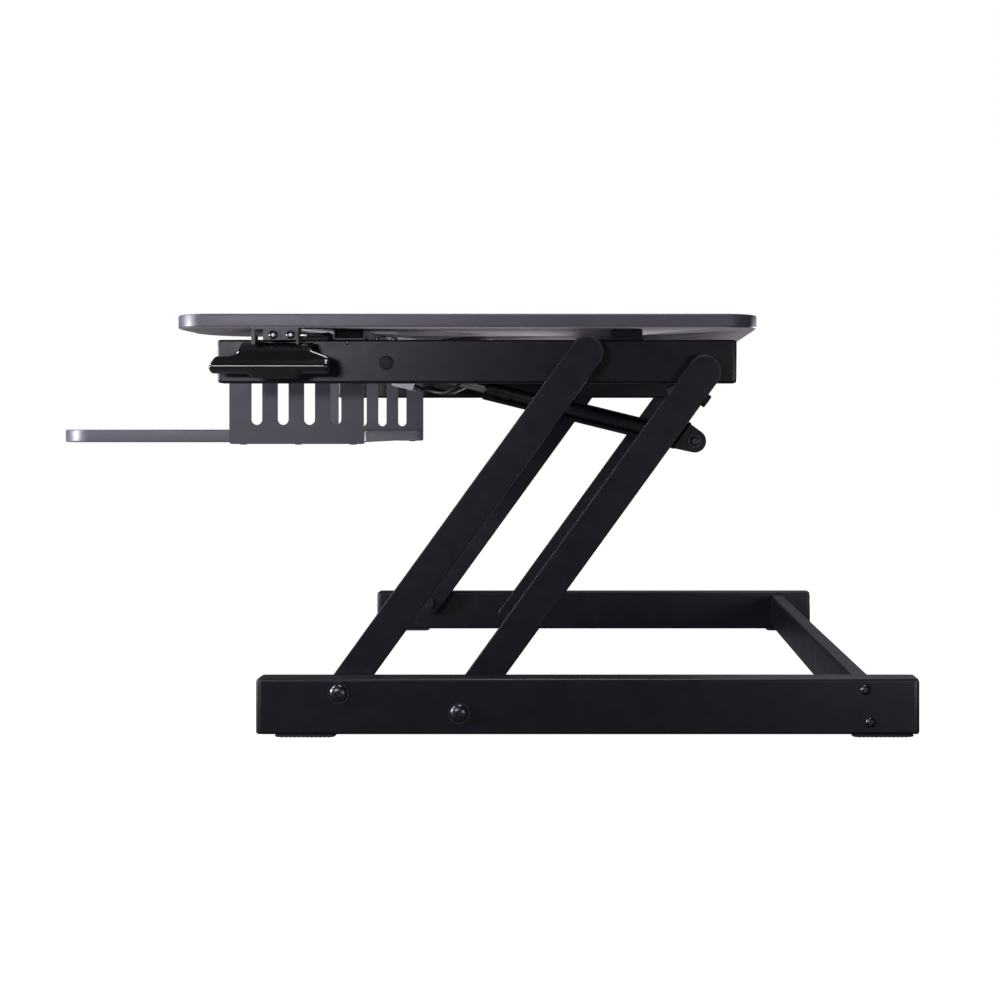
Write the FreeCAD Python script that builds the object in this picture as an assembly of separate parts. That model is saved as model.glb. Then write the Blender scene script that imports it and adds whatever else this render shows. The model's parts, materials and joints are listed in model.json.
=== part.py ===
import FreeCAD, Part
import math
import os

# Standing desk converter. Millimetres. +X is the user's right, +Y the rear edge, +Z up.
# The nodes are drawn about the middle of the base and moved by RECENTRE_Y as they are written,
# so that the origin lies on the desk, under the centre of the whole object.

# ---- Driving dimensions -------------------------------------------------------------
# Base frame
RAIL_OUTER_X = 430.0          # outer face of each base rail
RAIL_THICK = 30.0
RAIL_HEIGHT = 60.0
RAIL_FRONT = -226.0
RAIL_REAR = 485.0
FOOT_HEIGHT = 4.0
RECENTRE_Y = 6.25             # moves the finished nodes so that the origin is under the whole's middle
BASE_WALL = 2.0
BASE_CAP = 6.0                # thickness of an end cap's flange
CROSSBAR_Y = (420.0, 440.0)
CROSSBAR_Z = (9.0, 59.0)
CROSSBAR_BOLTS = ((426.7, 52.0), (432.3, 17.2))

# Parallelogram linkage, as (y, z) of the pivots
FRONT_PIVOT = (-137.0, 48.5)
REAR_PIVOT = (-8.0, 27.5)
ARM_LENGTH = 452.0
ARM_ANGLE = 54.1              # rise of the arms from level, at rest
ARM_WIDTH = 36.0
ARM_X = (379.0, 398.0)
ARM_WALL = 2.0
PIVOT_R = 5.0                 # M10 pivot bolts
BUSH_R = 8.0
RUNNING = 0.05                # radial clearance of a running pivot
OPEN_RUNNING = 0.10           # the pivot that closes the parallelogram

# Platform
UPPER_X = (352.0, 377.0)
UPPER_Y = (-281.0, 294.0)
UPPER_Z = (382.0, 430.0)
UPPER_CAP = 5.0
TUBE_WIDTH = 35.0             # flat cross tubes
TUBE_HEIGHT = 12.0
TUBE_WALL = 1.5
FRONT_TUBE_Y = -135.0
REAR_TUBE_Y = 172.0
WORKTOP_Z = (442.0, 457.0)
WORKTOP_HALF = 400.0
WORKTOP_Y = (-327.0, 317.0)
WORKTOP_FRONT_R = 40.0
WORKTOP_REAR_R = 38.0
CUTOUT_HALF = 236.0           # hand cut-out between the two horns
CUTOUT_BACK = -221.0
CUTOUT_OUTER_R = 61.0
CUTOUT_INNER_R = 45.0

# Keyboard tray
TRAY_HALF = 277.5
TRAY_Y = (-497.5, -134.0)
TRAY_Z = (315.5, 330.5)
TRAY_FRONT_R = 40.0
TRAY_REAR_R = 10.0
BRACKET_X = (278.0, 280.5)
BRACKET_Y = (-292.5, -135.0)
BRACKET_SHEET = 2.0
SLOT_COUNT = 4
SLOT_FIRST = 25.6
SLOT_PITCH = 30.9
SLOT_WIDTH = 13.0
SLOT_Z = (336.0, 420.0)

# Lockable gas spring: front trunnion P on the platform, rear pin Q on the rear arms
SPRING_FRONT = (-94.0, 404.4)
LUG_ALONG = 395.3             # Q, along a rear arm from its base pivot
LUG_DROP = 55.8               # Q, square to the arm, below and behind it
LUG_PIN_R = 4.0
ROD_R = 4.5
CYLINDER_R = 11.0
COVER_START = 78.9
COVER_END = 352.0
COVER_HALF = 13.7
TRUNNION_HALF = 13.0

# Squeeze handles
HANDLE_PIN = (386.0, 419.0)   # (x, z)
HANDLE_PIN_R = 2.5
GRIP_Y = (-281.5, -151.0)
HANDLE_BODY_Y = (-249.9, -171.9)
CABLE_R = 2.5

SIDES = (("right", 1), ("left", -1))
Vec = FreeCAD.Vector
NODES = {}
WOOD_SCREWS = []
CABLE_FERRULES = []


# ---- Shape helpers ------------------------------------------------------------------
def block(x, y, z):
    """Box from three (low, high) pairs."""
    return Part.makeBox(x[1] - x[0], y[1] - y[0], z[1] - z[0], Vec(x[0], y[0], z[0]))


def cyl_x(x0, x1, y, z, r):
    return Part.makeCylinder(r, x1 - x0, Vec(x0, y, z), Vec(1, 0, 0))


def cyl_y(y0, y1, x, z, r):
    return Part.makeCylinder(r, y1 - y0, Vec(x, y0, z), Vec(0, 1, 0))


def cyl_z(z0, z1, x, y, r):
    return Part.makeCylinder(r, z1 - z0, Vec(x, y, z0), Vec(0, 0, 1))


def ring_x(x0, x1, y, z, outer, inner):
    return cyl_x(x0, x1, y, z, outer).cut(cyl_x(x0 - 1, x1 + 1, y, z, inner))


def soften(shape, radius, chosen):
    """Fillet the edges whose bounding box passes the test chosen(box)."""
    edges = [edge for edge in shape.Edges if chosen(edge.BoundBox)]
    return shape.makeFillet(radius, edges)


def along_x(box):
    return box.XLength > 1 and box.YLength < 0.01 and box.ZLength < 0.01


def along_y(box):
    return box.YLength > 1 and box.XLength < 0.01 and box.ZLength < 0.01


def along_z(box):
    return box.ZLength > 1 and box.XLength < 0.01 and box.YLength < 0.01


def tube_along_y(x, y, z, wall, radius):
    """Rectangular tube that runs along Y, open at both ends."""
    outer = soften(block(x, y, z), radius, along_y)
    inner = block((x[0] + wall, x[1] - wall), (y[0] - 1, y[1] + 1), (z[0] + wall, z[1] - wall))
    return outer.cut(soften(inner, max(radius - wall, 0.5), along_y))


def tube_along_x(x, y, z, wall, radius):
    """Rectangular tube that runs along X, open at both ends."""
    outer = soften(block(x, y, z), radius, along_x)
    inner = block((x[0] - 1, x[1] + 1), (y[0] + wall, y[1] - wall), (z[0] + wall, z[1] - wall))
    return outer.cut(soften(inner, max(radius - wall, 0.4), along_x))


def hexagon_x(x0, x1, y, z, flats):
    """Hexagonal prism along X."""
    r = flats / math.sqrt(3)
    corners = [Vec(x0, y + r * math.cos(math.radians(60 * i)), z + r * math.sin(math.radians(60 * i)))
               for i in range(7)]
    return Part.Face(Part.makePolygon(corners)).extrude(Vec(x1 - x0, 0, 0))


def button_bolt(x_face, y, z, head_r, head_h, shank_r, shank_length, flats):
    """Button-head bolt: head outwards (+X) from x_face, shank inwards, hexagon socket."""
    head = cyl_x(x_face, x_face + head_h, y, z, head_r)
    rim = x_face + head_h
    head = soften(head, head_h * 0.6, lambda b: b.XLength < 0.01 and b.XMin > rim - 0.01)
    head = head.cut(hexagon_x(rim - head_h * 0.5, rim + 1, y, z, flats))
    return head.fuse(cyl_x(x_face - shank_length, x_face, y, z, shank_r))


def screw_z(x, y, z_face, head_r, head_h, shank_r, shank_up):
    """Pan-head screw with its head below z_face and its shank upwards."""
    head = cyl_z(z_face - head_h, z_face, x, y, head_r)
    head = soften(head, head_h * 0.45, lambda b: b.ZLength < 0.01 and b.ZMin < z_face - head_h + 0.01)
    cross = block((x - 0.5, x + 0.5), (y - head_r * 0.6, y + head_r * 0.6),
                  (z_face - head_h - 1, z_face - head_h * 0.5))
    turned = cross.copy()
    turned.rotate(Vec(x, y, 0), Vec(0, 0, 1), 90)
    head = head.cut(cross).cut(turned)
    return head.fuse(cyl_z(z_face, z_face + shank_up, x, y, shank_r))


def belt_face(circles, x):
    """Plane face at x around circles (y, z, r), given anticlockwise, joined by outer tangents."""
    count = len(circles)
    normals = []
    for i in range(count):
        y0, z0, r0 = circles[i]
        y1, z1, r1 = circles[(i + 1) % count]
        span = math.hypot(y1 - y0, z1 - z0)
        dy = (y1 - y0) / span
        dz = (z1 - z0) / span
        lean = (r0 - r1) / span
        side = math.sqrt(1 - lean * lean)
        normals.append((lean * dy + side * dz, lean * dz - side * dy))
    edges = []
    for i in range(count):
        y, z, r = circles[i]
        y1, z1, r1 = circles[(i + 1) % count]
        before = normals[i - 1]
        after = normals[i]
        a0 = math.atan2(before[1], before[0])
        a1 = math.atan2(after[1], after[0])
        if a1 < a0:
            a1 += 2 * math.pi
        points = [Vec(x, y + r * math.cos(a), z + r * math.sin(a)) for a in (a0, (a0 + a1) / 2, a1)]
        edges.append(Part.Arc(*points).toShape())
        start = points[2]
        end = Vec(x, y1 + r1 * after[0], z1 + r1 * after[1])
        edges.append(Part.LineSegment(start, end).toShape())
    return Part.Face(Part.Wire(edges))


def belt_plate(circles, x0, x1):
    return belt_face(circles, x0).extrude(Vec(x1 - x0, 0, 0))


def slot_x(x0, x1, y, z, width, height):
    """Obround prism along X, taller than wide."""
    r = width / 2
    reach = height / 2 - r
    return belt_plate([(y, z - reach, r), (y, z + reach, r)], x0, x1)


def place(shape, angle, pivot):
    """Turn a shape that is drawn along +Y about the origin, then move it to a (y, z) pivot."""
    moved = shape.copy()
    moved.rotate(Vec(0, 0, 0), Vec(1, 0, 0), angle)
    moved.translate(Vec(0, pivot[0], pivot[1]))
    return moved


def mirrored(shape):
    return shape.mirror(Vec(0, 0, 0), Vec(1, 0, 0))


def sided(shape, side):
    return shape if side > 0 else mirrored(shape)


def both(shapes):
    """The given right-hand shapes and their left-hand twins."""
    return list(shapes) + [mirrored(shape) for shape in shapes]


def board(outline, z, radius):
    """Board from a closed wire at z[0], with its rims softened."""
    slab = Part.Face(outline).extrude(Vec(0, 0, z[1] - z[0]))
    return soften(slab, radius, lambda b: b.ZLength < 0.01)


def line(a, b):
    return Part.LineSegment(a, b).toShape()


def arc(centre, radius, start, end, z):
    """Arc in a level plane, between two angles in degrees."""
    points = []
    for angle in (start, (start + end) / 2, end):
        turn = math.radians(angle)
        points.append(Vec(centre[0] + radius * math.cos(turn), centre[1] + radius * math.sin(turn), z))
    return Part.Arc(*points).toShape()


def joined(pieces):
    """Wire through arcs and points, with straight runs between neighbours."""
    edges = []
    count = len(pieces)
    for i in range(count):
        edges.append(pieces[i])
        end = pieces[i].Vertexes[-1].Point
        start = pieces[(i + 1) % count].Vertexes[0].Point
        if end.distanceToPoint(start) > 1e-6:
            edges.append(line(end, start))
    return Part.Wire(edges)


def bent_tube(name, points, radius):
    """Round tube along straight runs joined by the largest tangent arcs."""
    corners = [Vec(*p) for p in points]
    edges = []
    radii = []
    cursor = corners[0]
    for i in range(1, len(corners) - 1):
        back = corners[i - 1] - corners[i]
        ahead = corners[i + 1] - corners[i]
        shorter = min(back.Length, ahead.Length)
        half_turn = (math.pi - back.getAngle(ahead)) / 2
        trim = 0.45 * shorter
        bend = trim / math.tan(half_turn)
        radii.append(round(bend, 1))
        back.normalize()
        ahead.normalize()
        begin = corners[i] + back * trim
        end = corners[i] + ahead * trim
        bisector = back + ahead
        bisector.normalize()
        middle = corners[i] + bisector * (bend / math.cos(half_turn) - bend)
        edges.append(line(cursor, begin))
        edges.append(Part.Arc(begin, middle, end).toShape())
        cursor = end
    edges.append(line(cursor, corners[-1]))
    path = Part.Wire(edges)
    start_dir = corners[1] - corners[0]
    profile = Part.Wire(Part.makeCircle(radius, corners[0], start_dir))
    tube = path.makePipeShell([profile], True, False)
    expected = math.pi * radius * radius * path.Length
    print(name, "bend radii", radii, "length", round(path.Length, 1),
          "volume ratio", round(tube.Volume / expected, 4))
    return tube


def keep(name, *shapes):
    """Remember the separate solids of a node."""
    solids = []
    for shape in shapes:
        found = shape.Solids
        solids.extend(found)
    NODES[name] = solids[0] if len(solids) == 1 else Part.makeCompound(solids)


# ---- Base frame ---------------------------------------------------------------------
def make_base():
    x = (RAIL_OUTER_X - RAIL_THICK, RAIL_OUTER_X)
    z = (FOOT_HEIGHT, FOOT_HEIGHT + RAIL_HEIGHT)
    tube_y = (RAIL_FRONT + BASE_CAP, RAIL_REAR - BASE_CAP)
    rail = tube_along_y(x, tube_y, z, BASE_WALL, 3.0)
    for y_hole, z_hole in (FRONT_PIVOT, REAR_PIVOT):
        rail = rail.cut(cyl_x(x[0] - 1, x[1] + 1, y_hole, z_hole, PIVOT_R + 0.2))
    for y_hole, z_hole in CROSSBAR_BOLTS:
        rail = rail.cut(cyl_x(x[0] - 1, x[1] + 1, y_hole, z_hole, 3.2))
    for name, side in SIDES:
        keep("base_rail_" + name, sided(rail, side))

    caps = []
    fit = BASE_WALL + 0.1
    for y_out, y_in, plug in ((RAIL_FRONT, tube_y[0], 20.0), (RAIL_REAR, tube_y[1], -20.0)):
        flange = block(x, (min(y_out, y_in), max(y_out, y_in)), z)
        flange = soften(flange, 2.6, along_y)
        flange = soften(flange, 1.6, lambda b, at=y_out: b.YLength < 0.01 and abs(b.YMin - at) < 0.01)
        inner = block((x[0] + fit, x[1] - fit), (min(y_in, y_in + plug), max(y_in, y_in + plug)),
                      (z[0] + fit, z[1] - fit))
        inner = soften(inner, 1.2, along_y)
        hollow = block((x[0] + fit + 2, x[1] - fit - 2),
                       (min(y_in, y_in + plug * 1.1), max(y_in, y_in + plug * 1.1)),
                       (z[0] + fit + 2, z[1] - fit - 2))
        caps.append(flange.fuse(inner.cut(hollow)))
    keep("base_end_caps", *both(caps))

    bar = tube_along_x((-x[0], x[0]), CROSSBAR_Y, CROSSBAR_Z, TUBE_WALL, 3.0)
    inset = TUBE_WALL
    plate = block((x[0] - 8.0, x[0]), (CROSSBAR_Y[0] + inset, CROSSBAR_Y[1] - inset),
                  (CROSSBAR_Z[0] + inset, CROSSBAR_Z[1] - inset))
    bolts = []
    for y_bolt, z_bolt in CROSSBAR_BOLTS:
        bolts.append(button_bolt(x[1], y_bolt, z_bolt, 5.5, 3.2, 3.0, RAIL_THICK + 8.0, 4.0))
        plate = plate.cut(cyl_x(x[0] - 10, x[0] + 1, y_bolt, z_bolt, 3.0))
    keep("rear_crossbar", bar.fuse(both([plate])))
    keep("crossbar_bolts", *both(bolts))

    feet = []
    for y0, y1 in ((RAIL_FRONT + 20, RAIL_FRONT + 85), (RAIL_REAR - 72, RAIL_REAR - 6)):
        pad = block((x[0] + 2, x[1] - 2), (y0, y1), (0.0, FOOT_HEIGHT))
        pad = soften(pad, 6.0, along_z)
        pad = soften(pad, 0.8, lambda b: b.ZLength < 0.01 and b.ZMax < 0.01)
        feet.append(pad)
    keep("rubber_feet", *both(feet))


def make_base_pivots():
    bolts = []
    washers = []
    spacers = []
    nuts = []
    face = RAIL_OUTER_X + 1.5
    for y, z in (FRONT_PIVOT, REAR_PIVOT):
        bolts.append(button_bolt(face, y, z, 9.5, 4.6, PIVOT_R, face - 369.0, 6.0))
        washers.append(ring_x(RAIL_OUTER_X, face, y, z, 11.75, PIVOT_R))
        spacers.append(ring_x(ARM_X[1] + 0.3, RAIL_OUTER_X - RAIL_THICK, y, z, 11.0, PIVOT_R))
        nut = hexagon_x(371.5, ARM_X[0] - 0.3, y, z, 16.0)
        nut = nut.fuse(cyl_x(369.8, 371.5, y, z, 6.6))
        nuts.append(nut.cut(cyl_x(360, 400, y, z, PIVOT_R)))
    keep("base_pivot_bolts", *both(bolts))
    keep("base_pivot_washers", *both(washers))
    keep("base_pivot_spacers", *both(spacers))
    keep("base_pivot_nuts", *both(nuts))


# ---- Arms ---------------------------------------------------------------------------
def arm_shape():
    """One arm along +Y from its base pivot: a flat tube with round closed ends."""
    r = ARM_WIDTH / 2
    outer = belt_plate([(0, 0, r), (ARM_LENGTH, 0, r)], ARM_X[0], ARM_X[1])
    outer = soften(outer, 1.2, lambda b: b.XLength < 0.01)
    inner = belt_plate([(0, 0, r - ARM_WALL), (ARM_LENGTH, 0, r - ARM_WALL)],
                       ARM_X[0] + ARM_WALL, ARM_X[1] - ARM_WALL)
    arm = outer.cut(inner)
    arm = arm.cut(cyl_x(ARM_X[0] - 1, ARM_X[1] + 1, 0, 0, BUSH_R))
    return arm.cut(cyl_x(ARM_X[0] - 1, ARM_X[1] - ARM_WALL, ARM_LENGTH, 0, BUSH_R))


def arm_bushings(upper_gap):
    lower = ring_x(ARM_X[0], ARM_X[1], 0, 0, BUSH_R, PIVOT_R + RUNNING)
    upper = ring_x(ARM_X[0], ARM_X[1] - ARM_WALL, ARM_LENGTH, 0, BUSH_R, PIVOT_R + upper_gap)
    return [lower, upper]


def make_arms():
    for row, pivot, gap in (("front", FRONT_PIVOT, RUNNING), ("rear", REAR_PIVOT, OPEN_RUNNING)):
        arm = place(arm_shape(), ARM_ANGLE, pivot)
        for name, side in SIDES:
            keep(row + "_arm_" + name, sided(arm, side))
        bushes = [place(b, ARM_ANGLE, pivot) for b in arm_bushings(gap)]
        keep(row + "_arm_bushings", *both(bushes))


def make_rear_arm_fittings():
    cheek_x = (19.5, 23.5)
    tie = (403.0, 2.0)
    tube = tube_along_x((cheek_x[1], ARM_X[0]), (363.5, 398.5), (-23.0, -10.6), TUBE_WALL, 2.0)
    for name, side in SIDES:
        keep("rear_arm_cross_tube_" + name, sided(place(tube, ARM_ANGLE, REAR_PIVOT), side))

    outline = [(369.0, -17.0, 7.0), (LUG_ALONG, -LUG_DROP, 15.5), (tie[0], tie[1], 8.0)]
    cheek = belt_plate(outline, cheek_x[0], cheek_x[1])
    cheek = cheek.cut(cyl_x(0, 40, LUG_ALONG, -LUG_DROP, LUG_PIN_R))
    cheek = cheek.cut(cyl_x(0, 40, tie[0], tie[1], 4.0))
    tie_rod = cyl_x(-cheek_x[0], cheek_x[0], tie[0], tie[1], 5.0)
    tie_rod = tie_rod.fuse(cyl_x(-cheek_x[1], cheek_x[1], tie[0], tie[1], 4.0))
    clevis = tie_rod.fuse(both([cheek]))
    keep("gas_spring_rear_clevis", place(clevis, ARM_ANGLE, REAR_PIVOT))

    bolt = button_bolt(cheek_x[1] + 1.2, LUG_ALONG, -LUG_DROP, 6.6, 4.0, LUG_PIN_R, 58.0, 5.0)
    bolt = bolt.fuse(cyl_x(cheek_x[1], cheek_x[1] + 1.2, LUG_ALONG, -LUG_DROP, 9.0))
    nut = hexagon_x(-cheek_x[1] - 8.0, -cheek_x[1], LUG_ALONG, -LUG_DROP, 13.0)
    nut = nut.cut(cyl_x(-40, 0, LUG_ALONG, -LUG_DROP, LUG_PIN_R))
    keep("rear_lug_bolt", place(bolt, ARM_ANGLE, REAR_PIVOT))
    keep("rear_lug_nut", place(nut, ARM_ANGLE, REAR_PIVOT))

    middle = (ARM_X[0] + ARM_X[1]) / 2
    half = ARM_WIDTH / 2
    pad = cyl_z(-half - 4.5, -half, middle, 427.5, 7.5)
    pad = soften(pad, 1.0, lambda b: b.ZLength < 0.01 and b.ZMax < -half - 4.4)
    keep("arm_bumpers", *both([place(pad, ARM_ANGLE, REAR_PIVOT)]))


# ---- Platform frame -----------------------------------------------------------------
def upper_pivots():
    """(y, z) of the two pivots at the top of the arms."""
    turn = math.radians(ARM_ANGLE)
    dy = ARM_LENGTH * math.cos(turn)
    dz = ARM_LENGTH * math.sin(turn)
    return [(y + dy, z + dz) for y, z in (FRONT_PIVOT, REAR_PIVOT)]


def make_platform_frame():
    tube_y = (UPPER_Y[0] + UPPER_CAP, UPPER_Y[1] - UPPER_CAP)
    rail = tube_along_y(UPPER_X, tube_y, UPPER_Z, BASE_WALL, 2.5)
    for y, z in upper_pivots() + [SPRING_FRONT]:
        rail = rail.cut(cyl_x(UPPER_X[0] - 1, UPPER_X[1] + 1, y, z, PIVOT_R + 0.1))
    for name, side in SIDES:
        keep("upper_rail_" + name, sided(rail, side))

    caps = []
    fit = BASE_WALL + 0.1
    for y_out, y_in, plug in ((UPPER_Y[0], tube_y[0], 18.0), (UPPER_Y[1], tube_y[1], -18.0)):
        flange = block(UPPER_X, (min(y_out, y_in), max(y_out, y_in)), UPPER_Z)
        flange = soften(flange, 2.4, along_y)
        flange = soften(flange, 1.5, lambda b, at=y_out: b.YLength < 0.01 and abs(b.YMin - at) < 0.01)
        inner = block((UPPER_X[0] + fit, UPPER_X[1] - fit), (min(y_in, y_in + plug), max(y_in, y_in + plug)),
                      (UPPER_Z[0] + fit, UPPER_Z[1] - fit))
        inner = soften(inner, 0.8, along_y)
        hollow = block((UPPER_X[0] + fit + 2, UPPER_X[1] - fit - 2),
                       (min(y_in, y_in + plug * 1.1), max(y_in, y_in + plug * 1.1)),
                       (UPPER_Z[0] + fit + 2, UPPER_Z[1] - fit - 2))
        caps.append(flange.fuse(inner.cut(hollow)))
    keep("upper_rail_end_caps", *both(caps))

    plugs = []
    z = (UPPER_Z[1], UPPER_Z[1] + TUBE_HEIGHT)
    end = UPPER_X[1] - 0.5
    for name, y_mid, recess in (("front", FRONT_TUBE_Y, 6.0), ("rear", REAR_TUBE_Y, -0.8)):
        y = (y_mid - TUBE_WIDTH / 2, y_mid + TUBE_WIDTH / 2)
        tube = tube_along_x((-end, end), y, z, TUBE_WALL, 2.0)
        for x_screw in (90.0, 250.0, 364.5):
            for side in (1, -1):
                tube = tube.cut(cyl_z(z[0] - 1, z[1] + 1, side * x_screw, y_mid, 2.0))
        keep("cross_tube_" + name, tube)
        inset = TUBE_WALL + 0.05
        plug = block((end - 16.0, end - recess), (y[0] + inset, y[1] - inset), (z[0] + inset, z[1] - inset))
        plugs.append(soften(plug, 0.6, along_x).cut(cyl_z(z[0], z[1], 364.5, y_mid, 2.1)))
    keep("cross_tube_plugs", *both(plugs))

    bolts = []
    spacers = []
    for y, z_bolt in upper_pivots():
        bolt = button_bolt(0.0, 0.0, 0.0, 9.0, 4.4, PIVOT_R, 43.3, 6.0)
        bolt.rotate(Vec(0, 0, 0), Vec(0, 0, 1), 180)
        bolt.translate(Vec(UPPER_X[0], y, z_bolt))
        bolts.append(bolt)
        spacers.append(ring_x(UPPER_X[1], ARM_X[0] - 0.3, y, z_bolt, 11.0, PIVOT_R))
    keep("upper_pivot_bolts", *both(bolts))
    keep("upper_pivot_spacers", *both(spacers))

    top_screws = []
    for y in (-105.0, -86.0):
        head = cyl_z(UPPER_Z[1], UPPER_Z[1] + 2.8, 369.0, y, 3.4)
        head = soften(head, 1.4, lambda b: b.ZLength < 0.01 and b.ZMin > UPPER_Z[1] + 2.7)
        top_screws.append(head.fuse(cyl_z(UPPER_Z[1] - 10.0, UPPER_Z[1], 369.0, y, 1.7)))
    side_head = cyl_x(UPPER_X[1], UPPER_X[1] + 1.6, FRONT_TUBE_Y - 2.0, 426.5, 2.2)
    side_head = soften(side_head, 1.2, lambda b: b.XLength < 0.01 and b.XMin > UPPER_X[1] + 1.5)
    top_screws.append(side_head.fuse(cyl_x(UPPER_X[1] - 6, UPPER_X[1], FRONT_TUBE_Y - 2.0, 426.5, 1.2)))
    rail_screws = both(top_screws)
    keep("rail_clip_screws", *rail_screws)
    for name, side in SIDES:
        rail_node = NODES["upper_rail_" + name]
        for screw in rail_screws:
            rail_node = rail_node.cut(screw)
        keep("upper_rail_" + name, rail_node)


def worktop_outline():
    z = WORKTOP_Z[0]
    half = WORKTOP_HALF
    front, rear = WORKTOP_Y
    rf = WORKTOP_FRONT_R
    rr = WORKTOP_REAR_R
    ro = CUTOUT_OUTER_R
    ri = CUTOUT_INNER_R
    right_horn = (CUTOUT_HALF + ro, front + ro)
    right_root = (CUTOUT_HALF - ri, CUTOUT_BACK - ri)
    pieces = [
        arc((half - rr, rear - rr), rr, 0, 90, z),
        arc((-half + rr, rear - rr), rr, 90, 180, z),
        arc((-half + rf, front + rf), rf, 180, 270, z),
        arc((-right_horn[0], right_horn[1]), ro, 270, 360, z),
        arc((-right_root[0], right_root[1]), ri, 180, 90, z),
        arc(right_root, ri, 90, 0, z),
        arc(right_horn, ro, 180, 270, z),
        arc((half - rf, front + rf), rf, 270, 360, z),
    ]
    return joined(pieces)


def make_worktop():
    top = board(worktop_outline(), WORKTOP_Z, 2.0)
    screws = []
    low = UPPER_Z[1]
    for y in (FRONT_TUBE_Y, REAR_TUBE_Y):
        for x in (90.0, 250.0):
            screws.append(screw_z(x, y, low, 4.2, 2.6, 2.0, TUBE_HEIGHT + 9.0))
    all_screws = both(screws)
    WOOD_SCREWS.extend(all_screws)
    for screw in all_screws:
        top = top.cut(screw)
    NODES["worktop"] = top


def tray_outline():
    z = TRAY_Z[0]
    front, rear = TRAY_Y
    half = TRAY_HALF
    rf = TRAY_FRONT_R
    rr = TRAY_REAR_R
    return joined([
        arc((half - rr, rear - rr), rr, 0, 90, z),
        arc((-half + rr, rear - rr), rr, 90, 180, z),
        arc((-half + rf, front + rf), rf, 180, 270, z),
        arc((half - rf, front + rf), rf, 270, 360, z),
    ])


def make_tray():
    tray = board(tray_outline(), TRAY_Z, 2.0)
    foot = TRAY_Z[0] - BRACKET_SHEET
    head = WORKTOP_Z[0]
    web = block(BRACKET_X, BRACKET_Y, (foot, head))
    web = soften(web, 3.0, lambda b: along_x(b) and b.ZMax < foot + 1)
    for i in range(SLOT_COUNT):
        y = BRACKET_Y[0] + SLOT_FIRST + SLOT_WIDTH / 2 + i * SLOT_PITCH
        middle = (SLOT_Z[0] + SLOT_Z[1]) / 2
        web = web.cut(slot_x(270, 290, y, middle, SLOT_WIDTH, SLOT_Z[1] - SLOT_Z[0]))
    shelf = block((BRACKET_X[0] - 28.0, BRACKET_X[0]), (BRACKET_Y[0] + 3, BRACKET_Y[1] - 3),
                  (foot, TRAY_Z[0]))
    shelf = soften(shelf, 6.0, lambda b: along_z(b) and b.XMax < 251)
    flange = block((BRACKET_X[0] - 22.0, BRACKET_X[0]), (-218.0, BRACKET_Y[1] - 6), (head - 2.5, head))
    flange = soften(flange, 6.0, lambda b: along_z(b) and b.XMax < 257)
    bracket = web.fuse(shelf).fuse(flange).removeSplitter()
    tube_edge = FRONT_TUBE_Y - TUBE_WIDTH / 2
    notch = block((250.0, 290.0), (tube_edge - 0.5, 0.0), (UPPER_Z[1] - 0.5, head + 1))
    bracket = bracket.cut(notch)
    bracket = bracket.cut(block((250.0, 290.0), (-300.0, -221.0), (UPPER_Z[1] - 1.5, head + 1)))
    top_screws = []
    tray_screws = []
    for y in (-206.0, -186.0, -166.0):
        top_screws.append(screw_z(267.0, y, head - 2.5, 4.0, 2.4, 1.9, 10.5))
    for y in (-280.0, -215.0, -150.0):
        tray_screws.append(screw_z(264.0, y, foot, 4.2, 0.9, 1.9, 11.0))
    tray_all = both(tray_screws)
    top_all = both(top_screws)
    WOOD_SCREWS.extend(tray_all + top_all)
    for name, side in SIDES:
        node = sided(bracket, side)
        for screw in tray_all + top_all:
            node = node.cut(screw)
        keep("tray_bracket_" + name, node)
    for screw in tray_all:
        tray = tray.cut(screw)
    keep("keyboard_tray", tray)
    top = NODES["worktop"]
    for screw in top_all:
        top = top.cut(screw)
    NODES["worktop"] = top


# ---- Gas spring ---------------------------------------------------------------------
def lug_pin():
    """(y, z) of the rear pin Q at rest."""
    turn = math.radians(ARM_ANGLE)
    y = REAR_PIVOT[0] + LUG_ALONG * math.cos(turn) + LUG_DROP * math.sin(turn)
    z = REAR_PIVOT[1] + LUG_ALONG * math.sin(turn) - LUG_DROP * math.cos(turn)
    return y, z


def spring_line():
    """Angle of the gas spring from level and its length between P and Q."""
    y, z = lug_pin()
    dy = y - SPRING_FRONT[0]
    dz = z - SPRING_FRONT[1]
    return math.degrees(math.atan2(dz, dy)), math.hypot(dy, dz)


def on_spring(shape):
    return place(shape, spring_line()[0], SPRING_FRONT)


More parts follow.
